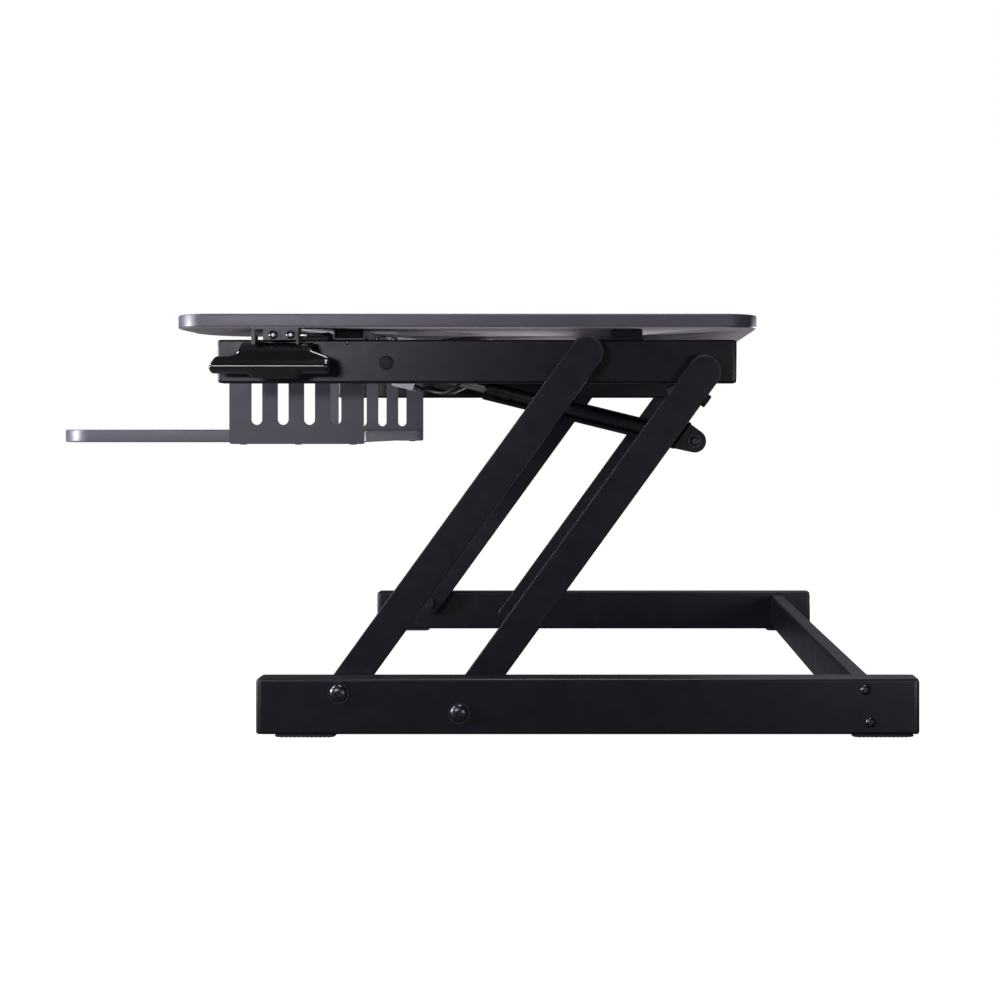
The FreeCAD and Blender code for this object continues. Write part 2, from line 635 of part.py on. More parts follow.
def make_gas_spring():
    length = spring_line()[1]
    half = TRUNNION_HALF
    bar = tube_along_x((-351.5, 351.5), (-half, half), (-half, half), BASE_WALL, 2.5)
    bar = bar.cut(cyl_y(-20, 20, 0, 0, ROD_R))
    inset = BASE_WALL
    end = block((331.0, 351.5), (-half + inset, half - inset), (-half + inset, half - inset))
    end = end.cut(cyl_x(320, 360, 0, 0, PIVOT_R))
    keep("spring_trunnion_bar", on_spring(bar.fuse(both([end]))))
    bolt = button_bolt(UPPER_X[1], 0, 0, 8.0, 1.5, PIVOT_R, UPPER_X[1] - 335.0, 5.0)
    keep("trunnion_bolts", *both([on_spring(bolt)]))

    rod = cyl_y(-17.0, 190.0, 0, 0, ROD_R)
    rod = rod.cut(cyl_y(-18.0, -2.0, 0, 0, 1.6))
    keep("gas_spring_rod", on_spring(rod))
    piston = cyl_y(190.0, 204.0, 0, 0, 8.8)
    piston = soften(piston, 1.0, lambda b: b.YLength < 0.01)
    keep("gas_spring_piston", on_spring(piston))
    jam = hexagon_x(half, half + 4.5, 0, 0, 13.0)
    jam.rotate(Vec(0, 0, 0), Vec(0, 0, 1), 90)
    jam = jam.cut(cyl_y(0, 40, 0, 0, ROD_R))
    keep("rod_jam_nut", on_spring(jam))
    pin = cyl_y(-20.5, -2.5, 0, 0, 1.5)
    keep("valve_pin", on_spring(pin))

    body = cyl_y(84.0, 350.0, 0, 0, CYLINDER_R)
    body = body.cut(cyl_y(92.0, 342.0, 0, 0, 9.0))
    body = body.cut(cyl_y(80.0, 95.0, 0, 0, ROD_R + 0.6))
    seal = cyl_y(92.2, 102.0, 0, 0, 8.95).cut(cyl_y(90, 110, 0, 0, ROD_R + RUNNING))
    keep("rod_guide_seal", on_spring(seal))

    tongue = block((-6.0, 6.0), (length - 20.0, length), (-15.0, 15.0))
    tongue = tongue.fuse(slot_x(-6.0, 6.0, length, 0, 21.0, 30.0))
    tongue = tongue.fuse(cyl_y(349.0, length - 18.0, 0, 0, 9.0))
    tongue = tongue.cut(slot_x(-10.0, 10.0, length, 0, 10.8, 21.6))
    keep("gas_spring_cylinder", on_spring(body.fuse(tongue)))

    x_web = (-16.5, -14.5)
    sheet = 2.0
    span = (COVER_START, COVER_END)
    web = block(x_web, span, (-COVER_HALF, COVER_HALF))
    upper = block((x_web[0], 14.5), span, (COVER_HALF - sheet, COVER_HALF))
    lower = block((x_web[0], 16.5), span, (-COVER_HALF, -COVER_HALF + sheet))
    lip = block((14.5, 16.5), span, (-COVER_HALF, -COVER_HALF + 4.5))
    cover = web.fuse(upper).fuse(lower).fuse(lip).removeSplitter()
    corner = block((-20, 20), (COVER_START - 1, COVER_START + 5), (-COVER_HALF - 1, -COVER_HALF + 5))
    corner = corner.cut(cyl_x(-20, 20, COVER_START + 5, -COVER_HALF + 5, 5.0))
    keep("gas_spring_cover", on_spring(cover.cut(corner)))
    clamps = []
    for y in (110.0, 320.0):
        band = cyl_y(y - 6, y + 6, 0, 0, CYLINDER_R + 1.5).cut(cyl_y(y - 7, y + 7, 0, 0, CYLINDER_R))
        foot = block((-14.5, -11.6), (y - 6, y + 6), (-6.0, 6.0)).cut(cyl_y(y - 7, y + 7, 0, 0, CYLINDER_R))
        clamps.append(band.fuse(foot))
    band_top = block((-20, 20), (100, 330), (11.5, 20))
    band_low = block((-20, 20), (100, 330), (-20, -11.5))
    keep("cover_clamps", *[on_spring(c.cut(band_top).cut(band_low)) for c in clamps])


def make_release():
    """Housing in front of the trunnion, with two short levers that press the valve pin."""
    rear = -TRUNNION_HALF
    cheek = block((13.0, 15.0), (-44.0, rear), (-25.0, 12.0))
    cheek = soften(cheek, 5.0, lambda b: along_x(b) and b.YMax < -43.9)
    plate = block((-15.0, 15.0), (rear - 2.0, rear), (-25.0, 12.0))
    plate = plate.cut(cyl_y(-20, -10, 0, 0, ROD_R))
    housing = plate.fuse(cheek).fuse(mirrored(cheek))
    nose = block((-15.0, 15.0), (-44.0, -42.0), (-20.0, 7.0))
    housing = housing.fuse(nose).removeSplitter()
    for x in (-6.0, 6.0):
        housing = housing.cut(cyl_y(-20, -10, x, -20.0, 2.0))
    housing = housing.cut(cyl_x(-20, 20, -34.0, 5.0, 2.0))
    keep("release_housing", on_spring(housing))
    axle = cyl_x(-15.0, 15.0, -34.0, 5.0, 2.0)
    axle = axle.fuse(cyl_x(15.0, 16.2, -34.0, 5.0, 3.2)).fuse(cyl_x(-16.2, -15.0, -34.0, 5.0, 3.2))
    keep("release_lever_axle", on_spring(axle))
    for name, side in SIDES:
        arm = belt_plate([(-34.0, 5.0, 4.5), (-33.0, -19.5, 3.5), (-30.0, -19.5, 3.5)], 1.0, 10.5)
        finger = block((1.0, 10.5), (-30.0, -22.0), (-2.0, 2.0))
        lever = arm.fuse(finger).cut(cyl_x(0, 20, -34.0, 5.0, 2.0 + RUNNING))
        keep("release_lever_" + name, on_spring(sided(lever, side)))
    for x in (-6.0, 6.0):
        ferrule = cyl_y(rear, rear + 9.0, x, -20.0, 3.6)
        ferrule = ferrule.fuse(cyl_y(rear - 2.0, rear, x, -20.0, 2.0))
        CABLE_FERRULES.append(on_spring(ferrule))


# ---- Squeeze handles and cables -----------------------------------------------------
def grip_section(y0, y1, circles):
    """Bar along Y whose section is a belt round circles (x, z, r)."""
    plate = belt_plate(circles, 0, y1 - y0)
    plate.rotate(Vec(0, 0, 0), Vec(0, 0, 1), 90)
    plate = plate.mirror(Vec(0, 0, 0), Vec(1, 0, 0))
    plate.translate(Vec(0, y0, 0))
    return plate


def make_handles():
    px, pz = HANDLE_PIN
    front_ear = (-239.0, -235.0)
    rear_ear = (-189.8, -187.3)
    hub = grip_section(HANDLE_BODY_Y[0], HANDLE_BODY_Y[1],
                       [(px, pz, 6.2), (402.0, 408.0, 4.0), (404.0, 413.0, 4.0), (px + 1, pz + 2, 6.2)])
    grip = grip_section(GRIP_Y[0], GRIP_Y[1],
                        [(403.0, 395.0, 3.6), (408.5, 399.0, 4.2), (404.0, 406.0, 4.2)])
    ridge = cyl_y(GRIP_Y[0] + 1.5, GRIP_Y[1] - 1.5, 410.0, 399.0, 4.6)
    ridge = soften(ridge, 2.5, lambda b: b.YLength < 0.01)
    lip_points = [Vec(400.0, -242.4, 393.0), Vec(400.0, -234.8, 385.8), Vec(400.0, -189.0, 385.8),
                  Vec(400.0, -180.2, 393.0), Vec(400.0, -242.4, 393.0)]
    lip = Part.Face(Part.makePolygon(lip_points)).extrude(Vec(6.0, 0, 0))
    grip = soften(grip, 3.0, lambda b: b.YLength < 0.01 and b.ZLength > 0.5)
    lever = hub.fuse(grip).fuse(ridge).fuse(lip).removeSplitter()
    for ear in (front_ear, rear_ear):
        lever = lever.cut(block((370.0, 396.5), (ear[0] - 0.5, ear[1] + 0.5), (405.0, 430.0)))
    lever = lever.cut(cyl_y(-300, -100, px, pz, HANDLE_PIN_R + RUNNING))
    pocket = block((378.0, 392.0), (-222.0, -202.0), (410.0, 430.0))
    lever = lever.cut(pocket)

    top = WORKTOP_Z[0]
    base_plate = block((378.5, 397.0), (front_ear[0], rear_ear[1]), (top - 2.0, top))
    ears = []
    for y0, y1 in (front_ear, rear_ear):
        ear = block((379.5, 394.5), (y0, y1), (414.0, top - 1.0))
        ear = soften(ear, 4.5, lambda b: along_y(b) and b.ZMax < 415)
        ears.append(ear.cut(cyl_y(y0 - 1, y1 + 1, px, pz, HANDLE_PIN_R)))
    tab = block((394.5, 397.0), (-225.6, rear_ear[1]), (428.5, top - 1.0))
    bracket = base_plate.fuse(ears).fuse(tab).removeSplitter()
    cable_hole = (388.0, 434.0)
    bracket = bracket.cut(cyl_y(-195, -180, cable_hole[0], cable_hole[1], 2.0))
    tab_screws = []
    for y in (-214.6, -195.5):
        bolt = button_bolt(397.0, y, 434.0, 4.9, 2.4, 2.0, 8.0, 2.5)
        tab_screws.append(bolt)
        bracket = bracket.cut(cyl_x(390, 398, y, 434.0, 2.0))
    plate_screws = []
    for y in (-229.0, -206.0):
        plate_screws.append(screw_z(385.0, y, top - 2.0, 3.6, 1.8, 1.8, 11.0))
    plate_all = both(plate_screws)
    WOOD_SCREWS.extend(plate_all)
    keep("handle_tab_screws", *both(tab_screws))

    pin = cyl_y(front_ear[0] - 2.5, rear_ear[1] + 2.5, px, pz, HANDLE_PIN_R)
    keep("handle_pins", *both([pin]))
    coil = []
    for i in range(5):
        ring = Part.makeTorus(4.4, 0.7, Vec(px, -217.0 + 2.2 * i, pz), Vec(0, 1, 0))
        coil.append(ring)
    leg = block((384.0, 385.2), (-219.6, -218.2), (pz + 4.0, top - 2.0))
    spine = cyl_y(-218.0, -207.2, px, pz - 4.4, 0.6)
    spring = coil[0].fuse(coil[1:]).fuse(spine).fuse(leg)
    keep("handle_springs", *both([spring]))

    for name, side in SIDES:
        node = sided(bracket, side)
        for screw in plate_all:
            node = node.cut(screw)
        keep("handle_bracket_" + name, node)
        keep("squeeze_handle_" + name, sided(lever, side))
    worktop = NODES["worktop"]
    for screw in plate_all:
        worktop = worktop.cut(screw)
    keep("worktop", worktop)

    ferrule = cyl_y(rear_ear[1], rear_ear[1] + 8.0, cable_hole[0], cable_hole[1], 3.6)
    ferrule = ferrule.fuse(cyl_y(rear_ear[0], rear_ear[1], cable_hole[0], cable_hole[1], 2.0))
    CABLE_FERRULES.extend(both([ferrule]))


def make_cables():
    """Bowden cables, from the handle bracket over the rail and round to the release housing."""
    angle = math.radians(spring_line()[0])
    start_local = (-TRUNNION_HALF + 9.0, -20.0)
    near = []
    for ahead in (0.0, 16.0):
        y = start_local[0] + ahead
        near.append((6.0, SPRING_FRONT[0] + y * math.cos(angle) - start_local[1] * math.sin(angle),
                     SPRING_FRONT[1] + y * math.sin(angle) + start_local[1] * math.cos(angle)))
    route = near + [
        (21.0, -66.0, 379.0),
        (48.0, -50.0, 388.0),
        (88.0, -32.0, 400.0),
        (150.0, 0.0, 413.0),
        (222.0, 26.0, 430.0),
        (276.0, 18.0, 438.0),
        (310.0, -24.0, 435.0),
        (324.0, -70.0, 426.0),
        (331.0, -112.0, 422.5),
        (338.0, -146.0, 420.0),
        (347.0, -163.5, 433.5),
        (366.0, -158.0, 436.5),
        (382.5, -160.0, 435.0),
        (388.0, -169.0, 434.0),
        (388.0, -179.3, 434.0),
    ]
    cable = bent_tube("control cable", route, CABLE_R)
    for name, side in SIDES:
        keep("control_cable_" + name, sided(cable, side))


def export_nodes():
    keep("wood_screws", *WOOD_SCREWS)
    keep("cable_ferrules", *CABLE_FERRULES)
    os.makedirs("parts", exist_ok=True)
    for name in sorted(NODES):
        shape = NODES[name]
        shape.translate(Vec(0, RECENTRE_Y, 0))
        assert shape.isValid(), name
        assert all(solid.Volume > 0 for solid in shape.Solids), name
        shape.exportStep("parts/" + name + ".step")
    print(len(NODES), "nodes")


make_base()
make_base_pivots()
make_arms()
make_rear_arm_fittings()
make_platform_frame()
make_worktop()
make_tray()
make_gas_spring()
make_release()
make_handles()
make_cables()
export_nodes()
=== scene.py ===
"""Looks of a standing desk converter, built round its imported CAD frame.

Every piece is in metres, in the frame of the CAD model: +X is the user's right, +Y the rear
edge and +Z up. Places and sizes come from the CAD nodes' own boxes wherever they can.
"""

import json
import logging
import math
from dataclasses import dataclass, replace
from enum import Enum
from typing import Sequence

import bmesh
import bpy
from mathutils import Matrix, Vector


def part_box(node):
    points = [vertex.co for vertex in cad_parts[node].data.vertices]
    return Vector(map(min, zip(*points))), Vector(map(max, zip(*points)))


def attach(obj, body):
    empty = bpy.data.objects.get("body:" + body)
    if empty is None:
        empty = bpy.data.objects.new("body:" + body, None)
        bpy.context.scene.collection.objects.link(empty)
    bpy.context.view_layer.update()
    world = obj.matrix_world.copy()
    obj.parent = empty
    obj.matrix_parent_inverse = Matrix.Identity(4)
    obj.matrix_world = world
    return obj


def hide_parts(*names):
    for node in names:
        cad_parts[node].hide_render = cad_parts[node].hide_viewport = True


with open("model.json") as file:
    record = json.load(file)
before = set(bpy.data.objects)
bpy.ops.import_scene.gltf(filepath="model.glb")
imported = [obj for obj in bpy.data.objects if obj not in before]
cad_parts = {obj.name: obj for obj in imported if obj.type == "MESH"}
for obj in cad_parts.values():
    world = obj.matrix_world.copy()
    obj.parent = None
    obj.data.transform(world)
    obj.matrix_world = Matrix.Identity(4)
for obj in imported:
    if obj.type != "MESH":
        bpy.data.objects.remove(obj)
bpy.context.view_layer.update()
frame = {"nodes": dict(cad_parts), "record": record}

LOG = logging.getLogger("desk_converter")
MM = 0.001
# Points closer than this, in metres, are one.
TOUCH = 1e-6
Tree = bpy.types.NodeTree
Node = bpy.types.Node
Socket = bpy.types.NodeSocket
Mesh = bpy.types.Mesh
BMesh = bmesh.types.BMesh


class Side(Enum):
    """The user's right and left."""

    RIGHT = "right"
    LEFT = "left"

    @property
    def way(self) -> float:
        """Direction along X: +1 on the right and -1 on the left."""
        return 1.0 if self is Side.RIGHT else -1.0


class Row(Enum):
    """The two rows of arms."""

    FRONT = "front"
    REAR = "rear"

    @property
    def foot(self) -> tuple[float, float, float]:
        """Pivot at the foot of the row's arms."""
        return joint_place("lift" if self is Row.FRONT else "rear_arm_swing")


# ---- Node helpers -------------------------------------------------------------------
def linear(code: str) -> tuple[float, float, float, float]:
    """Turn an sRGB hex colour into linear RGBA.

    Args:
        code: Colour such as "#1d1d20".

    Returns:
        Linear red, green, blue and an alpha of one.
    """
    channels = [int(code[i:i + 2], 16) / 255 for i in (1, 3, 5)]
    out = [c / 12.92 if c <= 0.04045 else ((c + 0.055) / 1.055) ** 2.4 for c in channels]
    return out[0], out[1], out[2], 1.0


def add(tree: Tree, kind: str, inputs: dict | None = None, **settings: object) -> Node:
    """Add one node with its settings, and link or set its inputs.

    Args:
        tree: Tree that gets the node.
        kind: Node type, such as "ShaderNodeBump".
        inputs: Input name or index to a socket to link, or to a plain value.
        **settings: Attributes of the node.

    Returns:
        The new node.
    """
    node = tree.nodes.new(kind)
    for key, value in settings.items():
        setattr(node, key, value)
    for key, value in (inputs or {}).items():
        if isinstance(value, Socket):
            tree.links.new(value, node.inputs[key])
        else:
            node.inputs[key].default_value = value
    return node


# ---- Finishes -----------------------------------------------------------------------
# Nearly all noise values lie between these.
NOISE_SPAN = (0.3, 0.7)
# Gloss drifts on a scale this much finer than colour.
GLOSS_FINENESS = 4


@dataclass(frozen=True)
class Finish:
    """A surface finish: colour, gloss and the grain that its making left.

    Attributes:
        name: Common name of the material and how its surface was made.
        colour: sRGB hex of the surface.
        shade: sRGB hex that the colour drifts to in soft patches.
        rough: Roughness of the smooth parts.
        rough_span: How much rougher the patches are.
        metal: Metallic value.
        ior: Index of refraction, left at its default on metals.
        grain_mm: Size of the surface grain.
        grain: Bump height of the grain, in millimetres.
        stretch: Stretch of the grain along X, Y and Z; a small number draws lines that way.
        patch_mm: Size of the soft colour patches.
        coat: Weight of a clear top layer.
        relief_strength: Strength of the grain's bump.
        hollow: Whether the grain's pattern is dark on its crests.
    """

    name: str
    colour: str
    shade: str
    rough: float
    rough_span: float = 0.08
    metal: float = 0.0
    ior: float = 1.5
    grain_mm: float = 1.0
    grain: float = 0.02
    stretch: tuple[float, float, float] = (1.0, 1.0, 1.0)
    patch_mm: float = 60.0
    coat: float = 0.0
    relief_strength: float = 0.6
    hollow: bool = False

    def make(self) -> bpy.types.Material:
        """Build the material once, and hand out the same one after that.

        Returns:
            The material.
        """
        found = bpy.data.materials.get(self.name)
        if found:
            return found
        material = bpy.data.materials.new(self.name)
        material.use_nodes = True
        tree = material.node_tree
        shader = tree.nodes["Principled BSDF"]
        shader.inputs["Metallic"].default_value = self.metal
        if self.metal < 0.5:
            shader.inputs["IOR"].default_value = self.ior
        shader.inputs["Coat Weight"].default_value = self.coat
        place = add(tree, "ShaderNodeTexCoord").outputs["Object"]
        self.colouring(tree, shader, place)
        self.relief(tree, shader, place)
        return material

    def colouring(self, tree: Tree, shader: Node, place: Socket) -> None:
        """Drift the colour and roughness in soft patches.

        Args:
            tree: Material tree.
            shader: Its Principled shader.
            place: Object coordinates.
        """
        patches = add(tree, "ShaderNodeTexNoise",
                      {"Vector": place, "Scale": 1 / (self.patch_mm * MM), "Detail": 4.0, "Roughness": 0.6})
        mix = add(tree, "ShaderNodeMix", {0: patches.outputs["Fac"]}, data_type="RGBA")
        mix.inputs[6].default_value = linear(self.colour)
        mix.inputs[7].default_value = linear(self.shade)
        tree.links.new(mix.outputs[2], shader.inputs["Base Color"])
        fine = add(tree, "ShaderNodeTexNoise",
                   {"Vector": place, "Scale": GLOSS_FINENESS / (self.patch_mm * MM), "Detail": 6.0})
        gloss = add(tree, "ShaderNodeMapRange", {
            "Value": fine.outputs["Fac"], "From Min": NOISE_SPAN[0], "From Max": NOISE_SPAN[1],
            "To Min": self.rough, "To Max": self.rough + self.rough_span})
        tree.links.new(gloss.outputs["Result"], shader.inputs["Roughness"])

    def relief(self, tree: Tree, shader: Node, place: Socket) -> None:
        """Raise the grain.

        Args:
            tree: Material tree.
            shader: Its Principled shader.
            place: Object coordinates.
        """
        turned = add(tree, "ShaderNodeMapping", {"Vector": place, "Scale": self.stretch})
        height = self.pattern(tree, turned.outputs["Vector"], 1 / (self.grain_mm * MM))
        bump = add(tree, "ShaderNodeBump", {
            "Height": height, "Strength": self.relief_strength, "Distance": self.grain * MM},
            invert=self.hollow)
        tree.links.new(bump.outputs["Normal"], shader.inputs["Normal"])

    def pattern(self, tree: Tree, place: Socket, scale: float) -> Socket:
        """Soft, even grain.

        Args:
            tree: Material tree.
            place: Stretched object coordinates.
            scale: Grains in a metre.

        Returns:
            Height of the grain, from 0 to 1.
        """
        return add(tree, "ShaderNodeTexNoise", {
            "Vector": place, "Scale": scale, "Detail": 3.0}).outputs["Fac"]


@dataclass(frozen=True)
class PebbledFinish(Finish):
    """A finish whose grain is small raised cells, as on wrinkle paint and laminate."""

    relief_strength: float = 0.7
    hollow: bool = True

    def pattern(self, tree: Tree, place: Socket, scale: float) -> Socket:
        """Rounded cells, darkest at their middles.

        Args:
            tree: Material tree.
            place: Stretched object coordinates.
            scale: Cells in a metre.

        Returns:
            Distance from the middle of a cell.
        """
        return add(tree, "ShaderNodeTexVoronoi", {"Vector": place, "Scale": scale},
                   feature="SMOOTH_F1").outputs["Distance"]


# Polyester powder coat, sprayed and baked: a dark skin with a soft, broad sheen and orange peel.
POWDER_COAT = Finish("powder_coated_steel", "#0e0c15", "#13111a", 0.29, 0.07, grain_mm=1.6, grain=0.02,
                     ior=1.38)
# The same coat in dark grey, thinner and drier, on the folded sheet of the tray brackets.
SHEET_COAT = Finish("powder_coated_sheet", "#312f38", "#3a3841", 0.44, 0.08, grain_mm=1.3, grain=0.03)
# Wrinkle paint on the handle brackets: coarse sparkling grain that breaks up every reflection.
WRINKLE_COAT = PebbledFinish("wrinkle_painted_steel", "#36363b", "#57575d", 0.36, 0.2, grain_mm=1.3,
                             grain=0.25, patch_mm=4.0)
# Melamine paper pressed on board: matt black with a faint pearl grain.
MELAMINE = PebbledFinish("melamine_faced_board", "#1c1c1f", "#232327", 0.50, 0.1, grain_mm=1.1, grain=0.02)
# The board's underside: plain balancing paper, pale grey and dull.
BACKING = Finish("balancing_paper", "#bdb8bd", "#cac3c0", 0.62, 0.1, grain_mm=2.4, grain=0.02)
# ABS edge band, extruded and glued: a satin strip that catches the light along its length.
EDGE_BAND = Finish("abs_edge_band", "#46444e", "#4f4d57", 0.36, 0.08, grain_mm=1.2, grain=0.012,
                   stretch=(0.15, 0.15, 1.0))
# Moulded polyethylene of caps and plugs: nearly black, waxy and soft edged.
CAP_PLASTIC = Finish("moulded_polyethylene", "#101013", "#17171a", 0.36, 0.1, grain_mm=0.9, grain=0.02)
# Glass-filled nylon, moulded in a polished tool: black with a clear running highlight.
HANDLE_NYLON = Finish("moulded_nylon", "#08080a", "#0d0d0f", 0.13, 0.05, grain_mm=1.4, grain=0.01, ior=1.53,
                      coat=0.5)
# Plain nylon bushes and washers: off-black and dry.
BUSH_NYLON = Finish("turned_nylon", "#242426", "#2c2c2e", 0.5, 0.1, grain_mm=0.8, grain=0.02)
# Plugs sunk in the tube ends: the same plastic, unpolished, with painted shade: coloured darker than the
# caps to stand for the shade inside the tube ends.
PLUG_PAINTED_SHADE = Finish("moulded_plug_painted_shade", "#050506", "#0a0a0b", 0.75, 0.1, grain_mm=0.9, grain=0.03, ior=1.35)
# Vulcanised rubber of feet and bumpers: matt, with a dusty bloom.
RUBBER = Finish("vulcanised_rubber", "#161617", "#242424", 0.78, 0.12, grain_mm=0.8, grain=0.05)
# Black oxide on bolts: thin dark film over machined steel, so it keeps a metallic glint.
BLACK_OXIDE = Finish("black_oxide_steel", "#505056", "#3e3e43", 0.24, 0.08, metal=1.0, grain_mm=0.7,
                     grain=0.01)
# Phosphate coat on the flat screws of the spring's bar: crystalline, oily black with hardly a glint.
PHOSPHATE = Finish("phosphated_steel", "#121215", "#1b1b1e", 0.52, 0.12, metal=0.2, grain_mm=0.8, grain=0.02)
# Die-cast zinc of the release: pale, grainy and half matt.
DIE_CAST = Finish("die_cast_zinc", "#cfd1d6", "#b4b6bc", 0.40, 0.14, metal=0.3, grain_mm=1.0, grain=0.02)
# Black chrome on the tab's screws: dark mirror whose rim takes a bright arc.
BLACK_CHROME = Finish("black_chrome", "#55565b", "#46474b", 0.16, 0.06, metal=1.0, grain_mm=0.8, grain=0.004)
# Bright zinc plate on small turned parts: pale metal with a faint drift of grey.
ZINC = Finish("bright_zinc_plate", "#c2c4c8", "#a3a6ab", 0.24, 0.12, metal=1.0, grain_mm=1.2, grain=0.008)
# Hard chrome on a ground rod: mirror bright, with fine rings left by grinding.
CHROME = Finish("hard_chrome", "#d6d8dc", "#c6c8cc", 0.07, 0.05, metal=1.0, grain_mm=0.8, grain=0.002,
                stretch=(1.0, 0.2, 1.0))
# Semi-gloss enamel on the gas cylinder: smooth black with long highlights.
ENAMEL = Finish("black_enamel", "#1a191e", "#222126", 0.22, 0.06, grain_mm=3.0, grain=0.01, coat=0.3)
# PVC of the cable sheath: extruded, soft black.
PVC = Finish("extruded_pvc", "#131314", "#1b1b1c", 0.45, 0.1, grain_mm=1.0, grain=0.02)
# Nickel-plated brass of the cable ends: warm pale metal.
NICKEL = Finish("nickel_plated_brass", "#bdb9b0", "#a8a49b", 0.22, 0.1, metal=1.0, grain_mm=0.9, grain=0.01)


# ---- Studio -------------------------------------------------------------------------
@dataclass
class Studio:
    """White surround, soft lights and the camera, which stands level on the user's right.

    Attributes:
        eye: Where the camera stands.
        lens: Focal length in millimetres.
        shift: Framing shift, as shares of the frame's width.
        ambient: Strength of the grey surround that the object sees.
        tint: Cool tint of the light.
        floor_half: Half the side of the floor.
        floor_drop: Gap between the floor and the feet, so that they don't share a plane.
        floor_colour: sRGB hex of the floor as the object sees it.
        floor_rough: Roughness of the floor.
        aim: Point that the soft boxes face.
        boxes: Name, place, width and height, and power of each soft box.
    """

    eye: tuple[float, float, float] = (1.985, 0.15425, 0.330)
    lens: float = 52.34
    shift: tuple[float, float] = (-0.105, -0.070)
    ambient: float = 0.07
    tint: tuple[float, float, float] = (0.95, 0.91, 1.0)
    floor_half: float = 40.0
    floor_drop: float = 0.0004
    floor_colour: str = "#505050"
    floor_rough: float = 0.9
    aim: tuple[float, float, float] = (0.0, 0.0, 0.25)
    boxes: tuple = (
        ("front_box", (0.75, -1.8, 0.42), (0.45, 0.45), 46.0),
        ("front_high_box", (0.3, -1.8, 1.5), (0.45, 0.45), 44.0),
        ("rear_box", (-0.9, 1.4, 0.18), (0.3, 0.3), 32.0),
        ("top_box", (0.6, 0.1, 2.2), (0.8, 0.8), 24.0),
        ("side_box", (2.4, 1.1, 0.2), (0.8, 0.3), 7.0),
        ("ridge_strip", (2.3, -0.82, 0.66), (0.7, 0.2), 11.0),
        ("far_box", (-2.4, 0.6, 2.0), (1.4, 1.4), 10.0),
    )

    def build(self) -> None:
        """Set up camera, surround, floor and lights."""
        bpy.context.scene.view_settings.view_transform = "Standard"
        self.place_camera()
        self.surround()
        self.lay_floor()
        self.hang_lights()

    def place_camera(self) -> None:
        """Stand the camera level, looking along -X."""
        data = bpy.data.cameras.new("camera")
        data.lens = self.lens
        data.shift_x, data.shift_y = self.shift
        data.clip_end = 2 * self.floor_half
        camera = bpy.data.objects.new("camera", data)
        camera.location = self.eye
        camera.rotation_euler = (math.pi / 2, 0.0, math.pi / 2)
        bpy.context.scene.collection.objects.link(camera)
        bpy.context.scene.camera = camera

    def surround(self) -> None:
        """Show a white surround, and light the object with a dimmer one."""
        world = bpy.data.worlds.new("studio")
        bpy.context.scene.world = world
        world.use_nodes = True
        tree = world.node_tree
        tree.nodes.clear()
        seen = add(tree, "ShaderNodeLightPath").outputs["Is Camera Ray"]
        strength = add(tree, "ShaderNodeMapRange", {"Value": seen, "To Min": self.ambient, "To Max": 1.0})
        white = add(tree, "ShaderNodeBackground", {"Strength": strength.outputs["Result"]})
        tint = add(tree, "ShaderNodeMix", {0: seen}, data_type="RGBA")
        tint.inputs[6].default_value = (*self.tint, 1.0)
        tint.inputs[7].default_value = (1.0, 1.0, 1.0, 1.0)
        tree.links.new(tint.outputs[2], white.inputs["Color"])
        add(tree, "ShaderNodeOutputWorld", {"Surface": white.outputs["Background"]})

    def lay_floor(self) -> None:
        """Lay a wide floor that looks plain white, and throws little light on the object."""
        half = self.floor_half
        mesh = bpy.data.meshes.new("floor")
        corners = ((-half, -half), (half, -half), (half, half), (-half, half))
        mesh.from_pydata([(x, y, -self.floor_drop) for x, y in corners], [], [(0, 1, 2, 3)])
        floor = bpy.data.objects.new("floor", mesh)
        bpy.context.scene.collection.objects.link(floor)
        material = bpy.data.materials.new("white_paper_floor")
        material.use_nodes = True
        tree = material.node_tree
        shader = tree.nodes["Principled BSDF"]
        shader.inputs["Base Color"].default_value = linear(self.floor_colour)
        shader.inputs["Roughness"].default_value = self.floor_rough
        shader.inputs["Emission Color"].default_value = (1.0, 1.0, 1.0, 1.0)
        seen = add(tree, "ShaderNodeLightPath").outputs["Is Camera Ray"]
        tree.links.new(seen, shader.inputs["Emission Strength"])
        mesh.materials.append(material)

    def hang_lights(self) -> None:
        """Hang the soft boxes, each aimed at the object's middle."""
        for name, place, (width, height), power in self.boxes:
            data = bpy.data.lights.new(name, "AREA")
            data.energy = power
            data.shape = "RECTANGLE"
            data.size = width
            data.size_y = height
            data.color = self.tint
            light = bpy.data.objects.new(name, data)
            light.location = place
            way = Vector(self.aim) - Vector(place)
            light.rotation_mode = "QUATERNION"
            light.rotation_quaternion = way.to_track_quat("-Z", "Y")
            bpy.context.scene.collection.objects.link(light)


# ---- Making and dressing pieces -----------------------------------------------------
def dress(finish: Finish, *nodes: str) -> None:
    """Give CAD nodes a finish.

    Args:
        finish: The finish.
        *nodes: Names of CAD nodes.
    """
    material = finish.make()
    for name in nodes:
        mesh = frame["nodes"][name].data
        mesh.materials.clear()
        mesh.materials.append(material)
        LOG.info("%s: %s", name, finish.name)


def settle(name: str, mesh: Mesh, body: str, slot: str, *nodes: str) -> None:
    """Put a finished mesh in the scene, on its body and in place of its CAD nodes.

    Args:
        name: Name of the piece.
        mesh: Its mesh, in the row frame.
        body: Body that it moves with.
        slot: Material slot of the record; not used.
        *nodes: CAD nodes that it stands for.
    """
    mesh.name = name
    piece = bpy.data.objects.new(name, mesh)
    bpy.context.scene.collection.objects.link(piece)
    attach(piece, body)
    if nodes:
        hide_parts(*nodes)
    LOG.info("%s: %d faces on %s", name, len(mesh.polygons), body)


